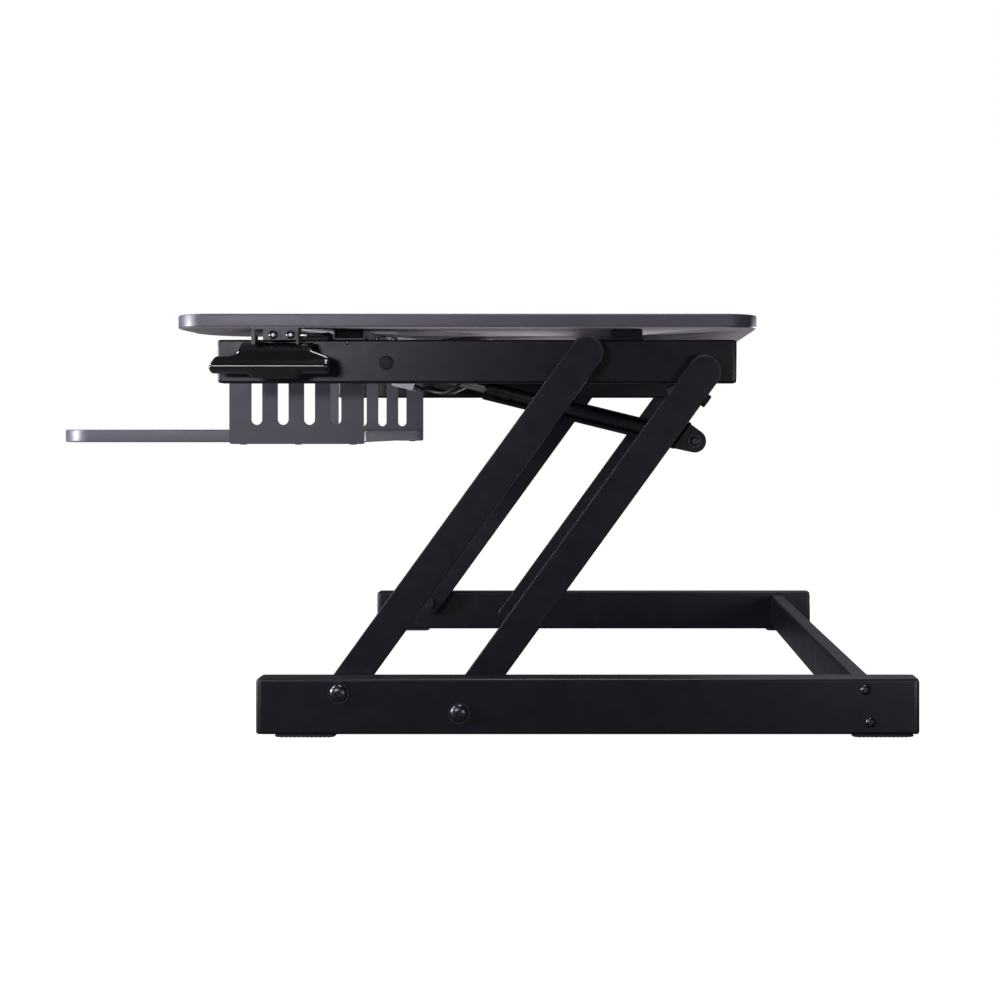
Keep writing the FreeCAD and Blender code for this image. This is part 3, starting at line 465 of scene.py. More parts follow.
def node_copy(name: str) -> BMesh:
    """Copy a CAD node's mesh, with its loose triangles joined.

    Args:
        name: CAD node.

    Returns:
        A closed bmesh in the row frame.
    """
    shape = bmesh.new()
    shape.from_mesh(frame["nodes"][name].data)
    bmesh.ops.remove_doubles(shape, verts=shape.verts, dist=TOUCH)
    bmesh.ops.recalc_face_normals(shape, faces=shape.faces)
    return shape


def finished_mesh(name: str, shape: BMesh, *finishes: Finish, crease: float = 32.0) -> Mesh:
    """Turn a bmesh into a smooth-shaded mesh whose sharp edges stay crisp.

    Args:
        name: Name of the mesh.
        shape: Bmesh, which is freed.
        *finishes: Finishes, in the order of the faces' material numbers.
        crease: Angle in degrees past which an edge stays crisp.

    Returns:
        The mesh.
    """
    mesh = bpy.data.meshes.new(name)
    shape.to_mesh(mesh)
    shape.free()
    for finish in finishes:
        mesh.materials.append(finish.make())
    mesh.shade_smooth()
    mesh.set_sharp_from_angle(angle=math.radians(crease))
    return mesh


def rounded_block(shape: BMesh, low: Sequence[float], high: Sequence[float],
                  radius: float, steps: int = 4, seat: float | None = None) -> None:
    """Add a block with rounded edges to a bmesh.

    Args:
        shape: Bmesh that gets the block.
        low: Lowest corner.
        high: Highest corner.
        radius: Edge radius.
        steps: Facets round each edge.
        seat: Y of a face that seats flat on something, so its edges stay square.
    """
    size = Vector(high) - Vector(low)
    middle = (Vector(high) + Vector(low)) / 2
    place = Matrix.Translation(middle) @ Matrix.Diagonal((*size, 1.0))
    made = bmesh.ops.create_cube(shape, size=1.0, matrix=place)
    edges = {edge for vert in made["verts"] for edge in vert.link_edges}
    if seat is not None:
        edges = {edge for edge in edges if any(abs(vert.co.y - seat) > TOUCH for vert in edge.verts)}
    bmesh.ops.bevel(shape, geom=list(edges), offset=radius, segments=steps, profile=0.5, affect="EDGES")


def evaluated(host: bpy.types.Object) -> Mesh:
    """Take the result of an object's modifiers as a plain mesh, and delete the object.

    Args:
        host: Unlinked helper object.

    Returns:
        The evaluated mesh.
    """
    bpy.context.scene.collection.objects.link(host)
    bpy.context.view_layer.update()
    graph = bpy.context.evaluated_depsgraph_get()
    mesh = bpy.data.meshes.new_from_object(host.evaluated_get(graph), depsgraph=graph)
    bpy.data.objects.remove(host)
    return mesh


def joint_place(name: str) -> tuple[float, float, float]:
    """Pivot point of a joint of the record.

    Args:
        name: Joint.

    Returns:
        Its point in the row frame.
    """
    joints = frame["record"]["behaviour"]["joints"]
    return tuple(next(joint for joint in joints if joint["name"] == name)["pos_m"])


def skin_between(shape: BMesh, rings: list[list[bmesh.types.BMVert]]) -> None:
    """Join rings of vertices with faces, and close the first and last.

    Args:
        shape: Bmesh that holds the vertices.
        rings: Rings of equal count, in order.
    """
    for near, far in zip(rings, rings[1:]):
        for i in range(len(near)):
            j = (i + 1) % len(near)
            shape.faces.new((near[i], near[j], far[j], far[i]))
    shape.faces.new(list(reversed(rings[0])))
    shape.faces.new(rings[-1])


def ease(share: float) -> float:
    """Smooth step from 0 to 1."""
    share = min(max(share, 0.0), 1.0)
    return share * share * (3 - 2 * share)


# ---- Geometry Nodes tools -----------------------------------------------------------
@dataclass
class PointTool:
    """Geometry Nodes tool that sets one made shape on every point, facing a stored way.

    Attributes:
        name: Name of the node tree.
        sizes: Named inputs of the tree, with their values for this use.
        crease: Angle in radians past which an edge stays crisp.
    """

    name: str
    sizes: dict[str, float]
    crease: float = 0.6

    def shape(self, tree: Tree, source: Node) -> Socket:
        """Make the repeated shape, standing along +Z; each kind of tool has its own.

        Args:
            tree: Tree that gets the nodes.
            source: Group input, with the named sizes.

        Returns:
            The shape's geometry socket.
        """
        raise NotImplementedError

    def grow(self) -> tuple[Tree, dict[str, str]]:
        """Build the tree.

        Returns:
            The tree, and each input's name with its identifier.
        """
        tree = bpy.data.node_groups.new(self.name, "GeometryNodeTree")
        face = tree.interface
        face.new_socket("Points", in_out="INPUT", socket_type="NodeSocketGeometry")
        known = {}
        for size in self.sizes:
            known[size] = face.new_socket(size, in_out="INPUT", socket_type="NodeSocketFloat").identifier
        finish = face.new_socket("Finish", in_out="INPUT", socket_type="NodeSocketMaterial")
        known["Finish"] = finish.identifier
        face.new_socket("Geometry", in_out="OUTPUT", socket_type="NodeSocketGeometry")
        source = add(tree, "NodeGroupInput")
        made = self.shape(tree, source)
        soft = add(tree, "GeometryNodeSetShadeSmooth", {"Geometry": made}, domain="FACE")
        bend = add(tree, "GeometryNodeInputMeshEdgeAngle").outputs["Unsigned Angle"]
        sharp = add(tree, "FunctionNodeCompare", {0: bend, 1: self.crease},
                    data_type="FLOAT", operation="GREATER_THAN")
        crisp = add(tree, "GeometryNodeSetShadeSmooth", {
            "Geometry": soft.outputs["Geometry"], "Selection": sharp.outputs["Result"],
            "Shade Smooth": False}, domain="EDGE")
        facing = add(tree, "GeometryNodeInputNamedAttribute", {"Name": "facing"}, data_type="FLOAT_VECTOR")
        turn = add(tree, "FunctionNodeAlignRotationToVector", {"Vector": facing.outputs["Attribute"]},
                   axis="Z")
        spread = add(tree, "GeometryNodeInstanceOnPoints", {
            "Points": source.outputs["Points"], "Instance": crisp.outputs["Geometry"],
            "Rotation": turn.outputs["Rotation"]})
        real = add(tree, "GeometryNodeRealizeInstances", {"Geometry": spread.outputs["Instances"]})
        painted = add(tree, "GeometryNodeSetMaterial", {
            "Geometry": real.outputs["Geometry"], "Material": source.outputs["Finish"]})
        add(tree, "NodeGroupOutput", {"Geometry": painted.outputs["Geometry"]})
        return tree, known

    def apply(self, places: Sequence[tuple[Sequence[float], Sequence[float]]], finish: Finish) -> Mesh:
        """Set the shape on points.

        Args:
            places: Position and facing of each copy.
            finish: Finish of the copies.

        Returns:
            One plain mesh.
        """
        mesh = bpy.data.meshes.new(self.name + "_points")
        mesh.from_pydata([at for at, _ in places], [], [])
        facing = mesh.attributes.new("facing", "FLOAT_VECTOR", "POINT")
        for entry, (_, way) in zip(facing.data, places):
            entry.vector = way
        host = bpy.data.objects.new(self.name + "_host", mesh)
        tree, known = self.grow()
        modifier = host.modifiers.new(self.name, "NODES")
        modifier.node_group = tree
        for size, value in self.sizes.items():
            modifier[known[size]] = value
        modifier[known["Finish"]] = finish.make()
        return evaluated(host)


@dataclass
class SocketScrews(PointTool):
    """Button-head screws with a hexagon socket, seated with the head's underside on the point.

    Attributes:
        socket_lift: Height of the socket cutter's middle, as a share of the head's.
    """

    socket_lift: float = 0.95

    def shape(self, tree: Tree, source: Node) -> Socket:
        """Dome with its socket, and shank.

        Args:
            tree: Tree that gets the nodes.
            source: Group input, with the named sizes.

        Returns:
            The screw.
        """
        size = source.outputs
        ball = add(tree, "GeometryNodeMeshUVSphere", {
            "Segments": 40, "Rings": 24, "Radius": size["Head radius"]})
        squash = add(tree, "ShaderNodeMath", {0: size["Head height"], 1: size["Head radius"]},
                     operation="DIVIDE")
        flat = add(tree, "ShaderNodeCombineXYZ", {"X": 1.0, "Y": 1.0, "Z": squash.outputs[0]})
        dome = add(tree, "GeometryNodeTransform", {
            "Geometry": ball.outputs["Mesh"], "Scale": flat.outputs[0]})
        key = add(tree, "GeometryNodeMeshCylinder", {
            "Vertices": 6, "Radius": size["Socket radius"], "Depth": size["Head height"]})
        lift = add(tree, "ShaderNodeMath", {0: size["Head height"], 1: self.socket_lift},
                   operation="MULTIPLY")
        up = add(tree, "ShaderNodeCombineXYZ", {"Z": lift.outputs[0]})
        drill = add(tree, "GeometryNodeTransform", {
            "Geometry": key.outputs["Mesh"], "Translation": up.outputs[0]})
        head = add(tree, "GeometryNodeMeshBoolean", {
            "Mesh 1": dome.outputs["Geometry"], "Mesh 2": drill.outputs["Geometry"]}, operation="DIFFERENCE")
        rod = add(tree, "GeometryNodeMeshCylinder", {
            "Vertices": 24, "Radius": size["Shank radius"], "Depth": size["Shank length"]})
        drop = add(tree, "ShaderNodeMath", {0: size["Shank length"], 1: -0.5}, operation="MULTIPLY")
        down = add(tree, "ShaderNodeCombineXYZ", {"Z": drop.outputs[0]})
        shank = add(tree, "GeometryNodeTransform", {
            "Geometry": rod.outputs["Mesh"], "Translation": down.outputs[0]})
        whole = add(tree, "GeometryNodeJoinGeometry", {"Geometry": shank.outputs["Geometry"]})
        tree.links.new(head.outputs["Mesh"], whole.inputs["Geometry"])
        return whole.outputs["Geometry"]


@dataclass
class TorsionSprings(PointTool):
    """Wound wire springs, centred on the point and wound round its facing."""

    def shape(self, tree: Tree, source: Node) -> Socket:
        """Wire swept along a helix.

        Args:
            tree: Tree that gets the nodes.
            source: Group input, with the named sizes.

        Returns:
            The spring.
        """
        size = source.outputs
        helix = add(tree, "GeometryNodeCurveSpiral", {
            "Resolution": 28, "Rotations": size["Turns"], "Start Radius": size["Coil radius"],
            "End Radius": size["Coil radius"], "Height": size["Length"]})
        wire = add(tree, "GeometryNodeCurvePrimitiveCircle", {
            "Resolution": 10, "Radius": size["Wire radius"]})
        swept = add(tree, "GeometryNodeCurveToMesh", {
            "Curve": helix.outputs["Curve"], "Profile Curve": wire.outputs["Curve"], "Fill Caps": True})
        back = add(tree, "ShaderNodeMath", {0: size["Length"], 1: -0.5}, operation="MULTIPLY")
        down = add(tree, "ShaderNodeCombineXYZ", {"Z": back.outputs[0]})
        return add(tree, "GeometryNodeTransform", {
            "Geometry": swept.outputs["Mesh"], "Translation": down.outputs[0]}).outputs["Geometry"]


@dataclass
class TreadRibs(PointTool):
    """Round-topped ribs that lie across a foot, one on each point."""

    def shape(self, tree: Tree, source: Node) -> Socket:
        """A flattened bar along X, with its crown on the point.

        Args:
            tree: Tree that gets the nodes.
            source: Group input, with the named sizes.

        Returns:
            The rib.
        """
        size = source.outputs
        bar = add(tree, "GeometryNodeMeshCylinder", {
            "Vertices": 12, "Radius": size["Rib radius"], "Depth": size["Rib length"]})
        lift = add(tree, "ShaderNodeCombineXYZ", {"Z": size["Rib radius"]})
        return add(tree, "GeometryNodeTransform", {
            "Geometry": bar.outputs["Mesh"], "Rotation": (0.0, math.pi / 2, 0.0),
            "Translation": lift.outputs[0]}).outputs["Geometry"]


@dataclass
class WeldBeads(PointTool):
    """Overlapping drops of a weld, one on each point of its run.

    Attributes:
        squash: Height of a drop, as a share of its width.
    """

    squash: float = 0.6

    def shape(self, tree: Tree, source: Node) -> Socket:
        """A squashed ball.

        Args:
            tree: Tree that gets the nodes.
            source: Group input, with the named sizes.

        Returns:
            The drop.
        """
        ball = add(tree, "GeometryNodeMeshIcoSphere", {
            "Radius": source.outputs["Drop radius"], "Subdivisions": 3})
        return add(tree, "GeometryNodeTransform", {
            "Geometry": ball.outputs["Mesh"], "Scale": (1.0, 1.0, self.squash)}).outputs["Geometry"]


@dataclass(frozen=True)
class ScrewSize:
    """Sizes of a button-head screw with a hexagon socket.

    Attributes:
        head: Radius of the head.
        socket: Radius of the hexagon over its corners.
        shank: Radius of the shank.
        length: Length of the shank.
    """

    head: float
    socket: float
    shank: float
    length: float

    def inputs(self, height: float) -> dict[str, float]:
        """Named inputs of the screw tool, for a head of a given height."""
        return {"Head radius": self.head, "Head height": height, "Socket radius": self.socket,
                "Shank radius": self.shank, "Shank length": self.length}


# ---- Sub-assemblies -----------------------------------------------------------------
@dataclass
class EndCaps:
    """Moulded caps in both ends of a pair of rails.

    Attributes:
        label: First word of the piece's name.
        rail: Rail node's name, up to its side.
        node: CAD node of the caps.
        body: Body that they move with.
        radius: Edge radius of the moulding.
        fullest: Largest edge radius, as a share of a cap's thickness.
        wall: Wall of the rail, inside which the stub goes.
        stub: How far the stub starts within the cap, and how far it goes into the rail.
        stub_radius: Edge radius of the stub.
    """

    label: str
    rail: str
    node: str
    body: str
    radius: float
    fullest: float = 0.9
    wall: float = 2.2 * MM
    stub: tuple[float, float] = (0.5 * MM, 18 * MM)
    stub_radius: float = 0.8 * MM

    def build(self) -> None:
        """Make all four caps as one piece."""
        shape = bmesh.new()
        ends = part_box(self.node)
        for side in Side:
            low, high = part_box(self.rail + side.value)
            for outer, inner in ((ends[0][1], low[1]), (ends[1][1], high[1])):
                self.add_cap(shape, low, high, outer, inner)
        name = self.label + "_caps"
        settle(name, finished_mesh(name, shape, CAP_PLASTIC), self.body, "caps", self.node)

    def add_cap(self, shape: BMesh, low: Sequence[float], high: Sequence[float],
                outer: float, inner: float) -> None:
        """Add a cap and its stub.

        Args:
            shape: Bmesh that gets them.
            low: Lowest corner of the rail.
            high: Highest corner of the rail.
            outer: Y of the cap's outer face.
            inner: Y of the rail's end, which the cap seats on.
        """
        near, far = sorted((outer, inner))
        rounded_block(shape, (low[0], near, low[2]), (high[0], far, high[2]),
                      min(self.radius, (far - near) * self.fullest), seat=inner)
        way = 1 if inner > outer else -1
        start, end = sorted((inner - way * self.stub[0], inner + way * self.stub[1]))
        rounded_block(shape, (low[0] + self.wall, start, low[2] + self.wall),
                      (high[0] - self.wall, end, high[2] - self.wall), self.stub_radius, steps=2)


@dataclass
class BaseFrame:
    """Rails, caps, feet and pivots that stand on the desk.

    Attributes:
        cap_radius: Edge radius of the caps.
        pivot_screw: Screws that the arms turn on.
        pivot_height: Height of their heads.
        pivot_inner: X of their inner ends, from the middle.
        bar_screw: Screws that hold the crossbar.
        bar_height: Height of their heads.
        pad_x: Inner and outer face of the pads, from the middle.
        pad_lengths: Length of the front and rear pads.
        pad_gap: How far the pads stand above the treads' crowns, and how far they enter the rail.
        pad_radius: Edge radius of the pads.
        sweep: How much longer than tall the pads' end curves are.
        rib: Radius and length of a tread's rib.
        rib_pitch: Distance between ribs.
        rib_margin: Plain length at a pad's two ends together.
    """

    cap_radius: float = 3.2 * MM
    pivot_screw: ScrewSize = ScrewSize(9.5 * MM, 3.5 * MM, 4.9 * MM, 0.0)
    pivot_height: float = 4.6 * MM
    pivot_inner: float = 0.369
    bar_screw: ScrewSize = ScrewSize(5.5 * MM, 2.3 * MM, 2.9 * MM, 0.037)
    bar_height: float = 3.2 * MM
    pad_x: tuple[float, float] = (0.402, 0.428)
    pad_lengths: tuple[float, float] = (0.065, 0.066)
    pad_gap: tuple[float, float] = (0.7 * MM, 0.3 * MM)
    pad_radius: float = 1.6 * MM
    sweep: float = 3.2
    rib: tuple[float, float] = (1.3 * MM, 0.021)
    rib_pitch: float = 4.6 * MM
    rib_margin: float = 0.008

    def build(self) -> None:
        """Dress the rails and make the caps, feet and screws."""
        dress(POWDER_COAT, "base_rail_left", "base_rail_right", "rear_crossbar")
        dress(BUSH_NYLON, "base_pivot_spacers")
        dress(BLACK_OXIDE, "base_pivot_washers", "base_pivot_nuts")
        EndCaps("base", "base_rail_", "base_end_caps", "base", self.cap_radius).build()
        self.make_feet()
        self.make_pivot_screws()
        self.make_crossbar_screws()

    def make_feet(self) -> None:
        """Rubber pads with swept ends, and ribs across their undersides."""
        low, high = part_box("rubber_feet")
        front, rear = self.pad_lengths
        pads = bmesh.new()
        crowns = []
        for side in Side:
            x0, x1 = sorted(side.way * x for x in self.pad_x)
            for y0, y1 in ((low[1], low[1] + front), (high[1] - rear, high[1])):
                self.add_pad(pads, (x0, y0, low[2] + self.pad_gap[0]), (x1, y1, high[2] + self.pad_gap[1]))
                count = int((y1 - y0 - self.rib_margin) / self.rib_pitch)
                start = (y0 + y1 - (count - 1) * self.rib_pitch) / 2
                crowns += [(((x0 + x1) / 2, start + i * self.rib_pitch, low[2]), (0, 0, 1))
                           for i in range(count)]
        settle("foot_pads", finished_mesh("foot_pads", pads, RUBBER), "base", "rubber", "rubber_feet")
        ribs = TreadRibs("tread_ribs", {"Rib radius": self.rib[0], "Rib length": self.rib[1]})
        settle("foot_treads", ribs.apply(crowns, RUBBER), "base", "rubber")

    def add_pad(self, pads: BMesh, low: Sequence[float], high: Sequence[float]) -> None:
        """Add one pad whose ends curve up in a long sweep.

        Args:
            pads: Bmesh that gets the pad.
            low: Lowest corner.
            high: Highest corner.
        """
        pad = bmesh.new()
        middle, half = (low[1] + high[1]) / 2, (high[1] - low[1]) / 2 / self.sweep
        rounded_block(pad, (low[0], middle - half, low[2]), (high[0], middle + half, high[2]),
                      self.pad_radius)
        bmesh.ops.scale(pad, vec=(1.0, self.sweep, 1.0), verts=pad.verts,
                        space=Matrix.Translation((0.0, -middle, 0.0)))
        spare = bpy.data.meshes.new("pad")
        pad.to_mesh(spare)
        pad.free()
        pads.from_mesh(spare)
        bpy.data.meshes.remove(spare)

    def make_pivot_screws(self) -> None:
        """Large socket screws that the arms turn on."""
        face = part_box("base_pivot_washers")[1][0]
        size = replace(self.pivot_screw, length=face - self.pivot_inner)
        spots = [((side.way * face, row.foot[1], row.foot[2]), (side.way, 0, 0))
                 for row in Row for side in Side]
        mesh = SocketScrews("pivot_screws", size.inputs(self.pivot_height)).apply(spots, BLACK_OXIDE)
        settle("pivot_screws", mesh, "base", "black_fasteners", "base_pivot_bolts")

    def make_crossbar_screws(self) -> None:
        """Pairs of small socket screws that hold the crossbar."""
        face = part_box("base_rail_right")[1][0]
        low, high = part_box("crossbar_bolts")
        edge = self.bar_screw.head
        spots = []
        for side in Side:
            spots.append(((side.way * face, low[1] + edge, high[2] - edge), (side.way, 0, 0)))
            spots.append(((side.way * face, high[1] - edge, low[2] + edge), (side.way, 0, 0)))
        screws = SocketScrews("crossbar_screws", self.bar_screw.inputs(self.bar_height))
        mesh = screws.apply(spots, BLACK_OXIDE)
        settle("crossbar_screws", mesh, "base", "black_fasteners", "crossbar_bolts")


@dataclass
class Linkage:
    """Front and rear arms with their end plugs and bushes.

    Attributes:
        width: Width of an arm.
        plug_proud: How far a plug stands past the arm's round end.
        plug_side: How far it stands past the arm's faces.
        plug_depth: Depth of its rim below the arm's outline.
        eased: Bevel of its outer edges.
        steps: Facets round a plug.
    """

    width: float = 36 * MM
    plug_proud: float = 0.35 * MM
    plug_side: float = 0.2 * MM
    plug_depth: float = 1.6 * MM
    eased: float = 0.4 * MM
    steps: int = 32

    def build(self) -> None:
        """Dress the arms and make their end plugs."""
        dress(POWDER_COAT, "front_arm_left", "front_arm_right", "rear_arm_left", "rear_arm_right",
              "rear_arm_cross_tube_left", "rear_arm_cross_tube_right", "gas_spring_rear_clevis")
        dress(BUSH_NYLON, "front_arm_bushings", "rear_arm_bushings")
        dress(RUBBER, "arm_bumpers")
        dress(BLACK_OXIDE, "rear_lug_bolt", "rear_lug_nut")
        for row in Row:
            self.make_plugs(row)

    def make_plugs(self, row: Row) -> None:
        """Moulded plugs that round off the upper ends of a row of arms.

        Args:
            row: The row.
        """
        shape = bmesh.new()
        half = self.width / 2
        foot = row.foot
        for side in Side:
            low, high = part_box(f"{row.value}_arm_{side.value}")
            centre = (high[1] - half, high[2] - half)
            lean = math.atan2(centre[1] - foot[2], centre[0] - foot[1])
            faces = (low[0] - self.plug_side, high[0] + self.plug_side)
            self.add_band(shape, faces, centre, lean - math.pi / 2)
        bmesh.ops.recalc_face_normals(shape, faces=shape.faces)
        name = row.value + "_arm_plugs"
        settle(name, finished_mesh(name, shape, CAP_PLASTIC, crease=25.0), row.value + "_arms", "caps")

    def add_band(self, shape: BMesh, x: tuple[float, float], centre: tuple[float, float],
                 start: float) -> None:
        """Add half a ring round an arm's end, with its outer edges eased.

        Args:
            shape: Bmesh that gets the ring.
            x: Its two faces along X.
            centre: Its centre as Y and Z.
            start: Angle where it begins.
        """
        inner = self.width / 2 - self.plug_depth
        outer = self.width / 2 + self.plug_proud
        section = ((x[0], inner), (x[1], inner), (x[1], outer - self.eased), (x[1] - self.eased, outer),
                   (x[0] + self.eased, outer), (x[0], outer - self.eased))
        rings = []
        for step in range(self.steps + 1):
            angle = start + math.pi * step / self.steps
            rings.append([shape.verts.new((across, centre[0] + reach * math.cos(angle),
                                           centre[1] + reach * math.sin(angle)))
                          for across, reach in section])
        skin_between(shape, rings)


@dataclass
class Platform:
    """Upper rails, cross tubes and boards.

    Attributes:
        cap_radius: Edge radius of the rails' caps.
        bar_screw: Wide screws that hold the gas spring's bar.
        bead_radius: Radius of a weld's drop.
        bead_pitch: Distance between drops.
        flat_rise: Rise of a face's normal past which it counts as a board's top or underside.
    """

    cap_radius: float = 3.0 * MM
    bar_screw: ScrewSize = ScrewSize(8.0 * MM, 3.6 * MM, 4.9 * MM, 0.038)
    bead_radius: float = 1.9 * MM
    bead_pitch: float = 2.4 * MM
    flat_rise: float = 0.8

    def build(self) -> None:
        """Dress the frame and make caps, boards and screws."""
        dress(POWDER_COAT, "upper_rail_left", "upper_rail_right", "cross_tube_front", "cross_tube_rear",
              "spring_trunnion_bar")
        dress(SHEET_COAT, "tray_bracket_left", "tray_bracket_right")
        # The tube plugs carry painted shade: their finish is darker than the caps' to stand for the shade in
        # the tube ends.
        dress(PLUG_PAINTED_SHADE, "cross_tube_plugs")
        dress(BLACK_OXIDE, "upper_pivot_bolts", "wood_screws", "rail_clip_screws")
        dress(BUSH_NYLON, "upper_pivot_spacers")
        EndCaps("upper", "upper_rail_", "upper_rail_end_caps", "platform", self.cap_radius).build()
        self.make_board("worktop")
        self.make_board("keyboard_tray")
        self.make_trunnion_screws()
        self.lay_welds()

    def make_board(self, node: str) -> None:
        """Face a board: melamine above, band round the edge and plain paper below.

        Args:
            node: CAD node of the board.
        """
        shape = node_copy(node)
        for face in shape.faces:
            rise = face.normal.z
            face.material_index = 0 if rise > self.flat_rise else 2 if rise < -self.flat_rise else 1
        mesh = finished_mesh(node + "_board", shape, MELAMINE, EDGE_BAND, BACKING, crease=50.0)
        settle(node + "_board", mesh, "platform", "worktop", node)

    def make_trunnion_screws(self) -> None:
        """Flat, wide socket screws that hold the gas spring's bar."""
        low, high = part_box("trunnion_bolts")
        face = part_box("upper_rail_right")[1][0]
        spots = [((side.way * face, (low[1] + high[1]) / 2, (low[2] + high[2]) / 2), (side.way, 0, 0))
                 for side in Side]
        mesh = SocketScrews("trunnion_screws", self.bar_screw.inputs(high[0] - face)).apply(spots, PHOSPHATE)
        settle("trunnion_screws", mesh, "platform", "black_fasteners", "trunnion_bolts")

    def lay_welds(self) -> None:
        """Weld beads where the cross tubes stand on the rails."""
        low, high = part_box("upper_rail_right")
        drops = []
        for tube in ("cross_tube_front", "cross_tube_rear"):
            front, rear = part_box(tube)
            count = int((high[0] - low[0]) / self.bead_pitch) - 1
            for side in Side:
                for y in (front[1], rear[1]):
                    drops += [((side.way * (low[0] + (i + 1) * self.bead_pitch), y, high[2]), (0, 0, 1))
                              for i in range(count)]
        beads = WeldBeads("weld_beads", {"Drop radius": self.bead_radius})
        settle("weld_beads", beads.apply(drops, POWDER_COAT), "platform", "steel")


@dataclass
class SqueezeHandles:
    """Grips, brackets, pins and springs at both sides; the grips' sizes are in millimetres.

    Attributes:
        hub_shift: How far the hub's middle lies behind the pin's.
        hub_half: Half the length of the hub.
        flare: Length over which the hub falls to the bar, in front and behind.
        sag: How hollow that fall is, in front and behind; 1 is straight.
        lip: Where the lip under the hub starts to end and has ended, from the middle.
        lip_drop: How far the lip's points lie inward and down.
        tip: Length of the rounded ends.
        tip_shares: Places of the sections along a rounded end.
        flare_shares: Places of the sections along a flare.
        hub_places: Places of the sections along the hub, from the middle.
        edge_places: Places of the sections at the hub's edges, outwards.
        front_places: Places of two more sections, from the front end.
        rear_place: Place of one more section, from the rear end.
        end_size: Size of the very ends, as a share of the full section.
        core: Point that the ends shrink towards.
        slant: How far the front end's top leans back.
        slant_run: Length over which the lean fades.
        slant_rise: Height over which it grows.
        slant_low: How far below the core it starts.
        cuts: Front, rear, inner, outer and floor of the gaps for ears and spring, from the pin.
        cut_top: Top of those gaps.
        cut_radius: Radius of their edges.
        bore: Radius and length of the pin's bore.
        crease: Angle in degrees past which a grip's edge stays crisp.
        tab_screw: Screws on the bracket's tab.
        coil: Named sizes of the return springs.
        nose: Start of every outline, round the lip and nose, as X and Z on the right.
        bar: The rest of it at the grip's ends.
        web: The rest of it where the hub starts to fall.
        hub: The rest of it along the hub.
    """

    hub_shift: float = 1.6
    hub_half: float = 39.0
    flare: tuple[float, float] = (12.0, 19.0)
    sag: tuple[float, float] = (2.0, 1.0)
    lip: tuple[float, float] = (23.0, 31.0)
    lip_drop: tuple = ((0.0, 4.6), (0.0, 5.5), (0.4, 5.3), (1.6, 3.4))
    tip: float = 4.0
    tip_shares: tuple[float, ...] = (0.0, 0.06, 0.2, 0.45, 0.7, 1.0)
    flare_shares: tuple[float, ...] = (0.12, 0.25, 0.4, 0.6, 0.8, 1.0)
    hub_places: tuple[float, ...] = (8.0, 16.0, 23.0, 26.0, 29.0, 31.0)
    edge_places: tuple[float, ...] = (-0.4, 0.0, 0.5)
    front_places: tuple[float, ...] = (9.0, 14.0)
    rear_place: float = 8.0
    end_size: float = 0.5
    core: tuple[float, float] = (406.0, 399.5)
    slant: float = 5.0
    slant_run: float = 16.0
    slant_rise: float = 11.0
    slant_low: float = 0.5
    cuts: tuple = ((-27.0, -22.0, -16.0, 10.5, -14.0), (22.2, 25.7, -16.0, 10.5, -14.0),
                   (-9.5, 10.5, -8.0, 6.0, -9.0))
    cut_top: float = 12.0
    cut_radius: float = 0.2
    bore: tuple[float, float] = (2.2, 120.0)
    crease: float = 35.0
    tab_screw: ScrewSize = ScrewSize(4.9 * MM, 2.1 * MM, 2.0 * MM, 8.0 * MM)
    coil: tuple = (("Turns", 4.0), ("Coil radius", 4.4 * MM), ("Wire radius", 0.7 * MM),
                   ("Length", 8.8 * MM))
    nose: tuple = (
        (400.2, 392.6), (401.2, 391.4), (404.0, 391.2), (408.0, 392.6),
        (411.9, 394.6), (414.3, 396.8), (414.4, 400.4), (413.2, 402.6),
    )
    bar: tuple = (
        (410.6, 404.4), (408.8, 406.8), (407.6, 409.0), (405.8, 410.2), (403.6, 410.3), (402.0, 410.0),
        (400.8, 409.2), (400.2, 407.6), (400.2, 405.5), (400.2, 403.0), (400.2, 400.0), (400.2, 396.0),
    )
    web: tuple = (
        (410.4, 404.8), (408.6, 408.5), (408.0, 413.0), (406.2, 416.6), (403.8, 417.2), (402.0, 416.8),
        (400.8, 415.6), (400.2, 413.0), (400.2, 409.5), (400.2, 405.5), (400.2, 401.0), (400.2, 396.0),
    )
    hub: tuple = (
        (410.4, 404.8), (408.6, 408.5), (408.2, 412.8), (406.0, 417.4), (399.0, 422.2), (391.5, 426.2),
        (386.0, 427.2), (380.6, 423.6), (380.2, 416.0), (386.0, 412.6), (397.0, 406.5), (400.2, 400.0),
    )

    def build(self) -> None:
        """Dress the brackets and make the grips, screws and springs."""
        dress(WRINKLE_COAT, "handle_bracket_left", "handle_bracket_right")
        dress(ZINC, "handle_pins")
        for side in Side:
            self.make_grip(side)
        self.make_tab_screws()
        self.make_springs()

    def section(self, y: float, middle: float) -> list[tuple[float, float]]:
        """Outline of the grip at one place along its length.

        Args:
            y: Place along Y, in millimetres.
            middle: Middle of the hub.

        Returns:
            Points as X and Z in millimetres.
        """
        away = abs(y - middle)
        points = list(self.nose)
        if away <= self.hub_half:
            points += self.hub
        else:
            rear = y > middle
            rise = max(0.0, 1 - (away - self.hub_half) / self.flare[rear]) ** self.sag[rear]
            points += [(bx + (wx - bx) * rise, bz + (wz - bz) * rise)
                       for (bx, bz), (wx, wz) in zip(self.bar, self.web)]
        drop = 1 - ease((away - self.lip[0]) / (self.lip[1] - self.lip[0]))
        for i, (inward, down) in enumerate(self.lip_drop):
            x, z = points[i]
            points[i] = (x - inward * drop, z - down * drop)
        return points

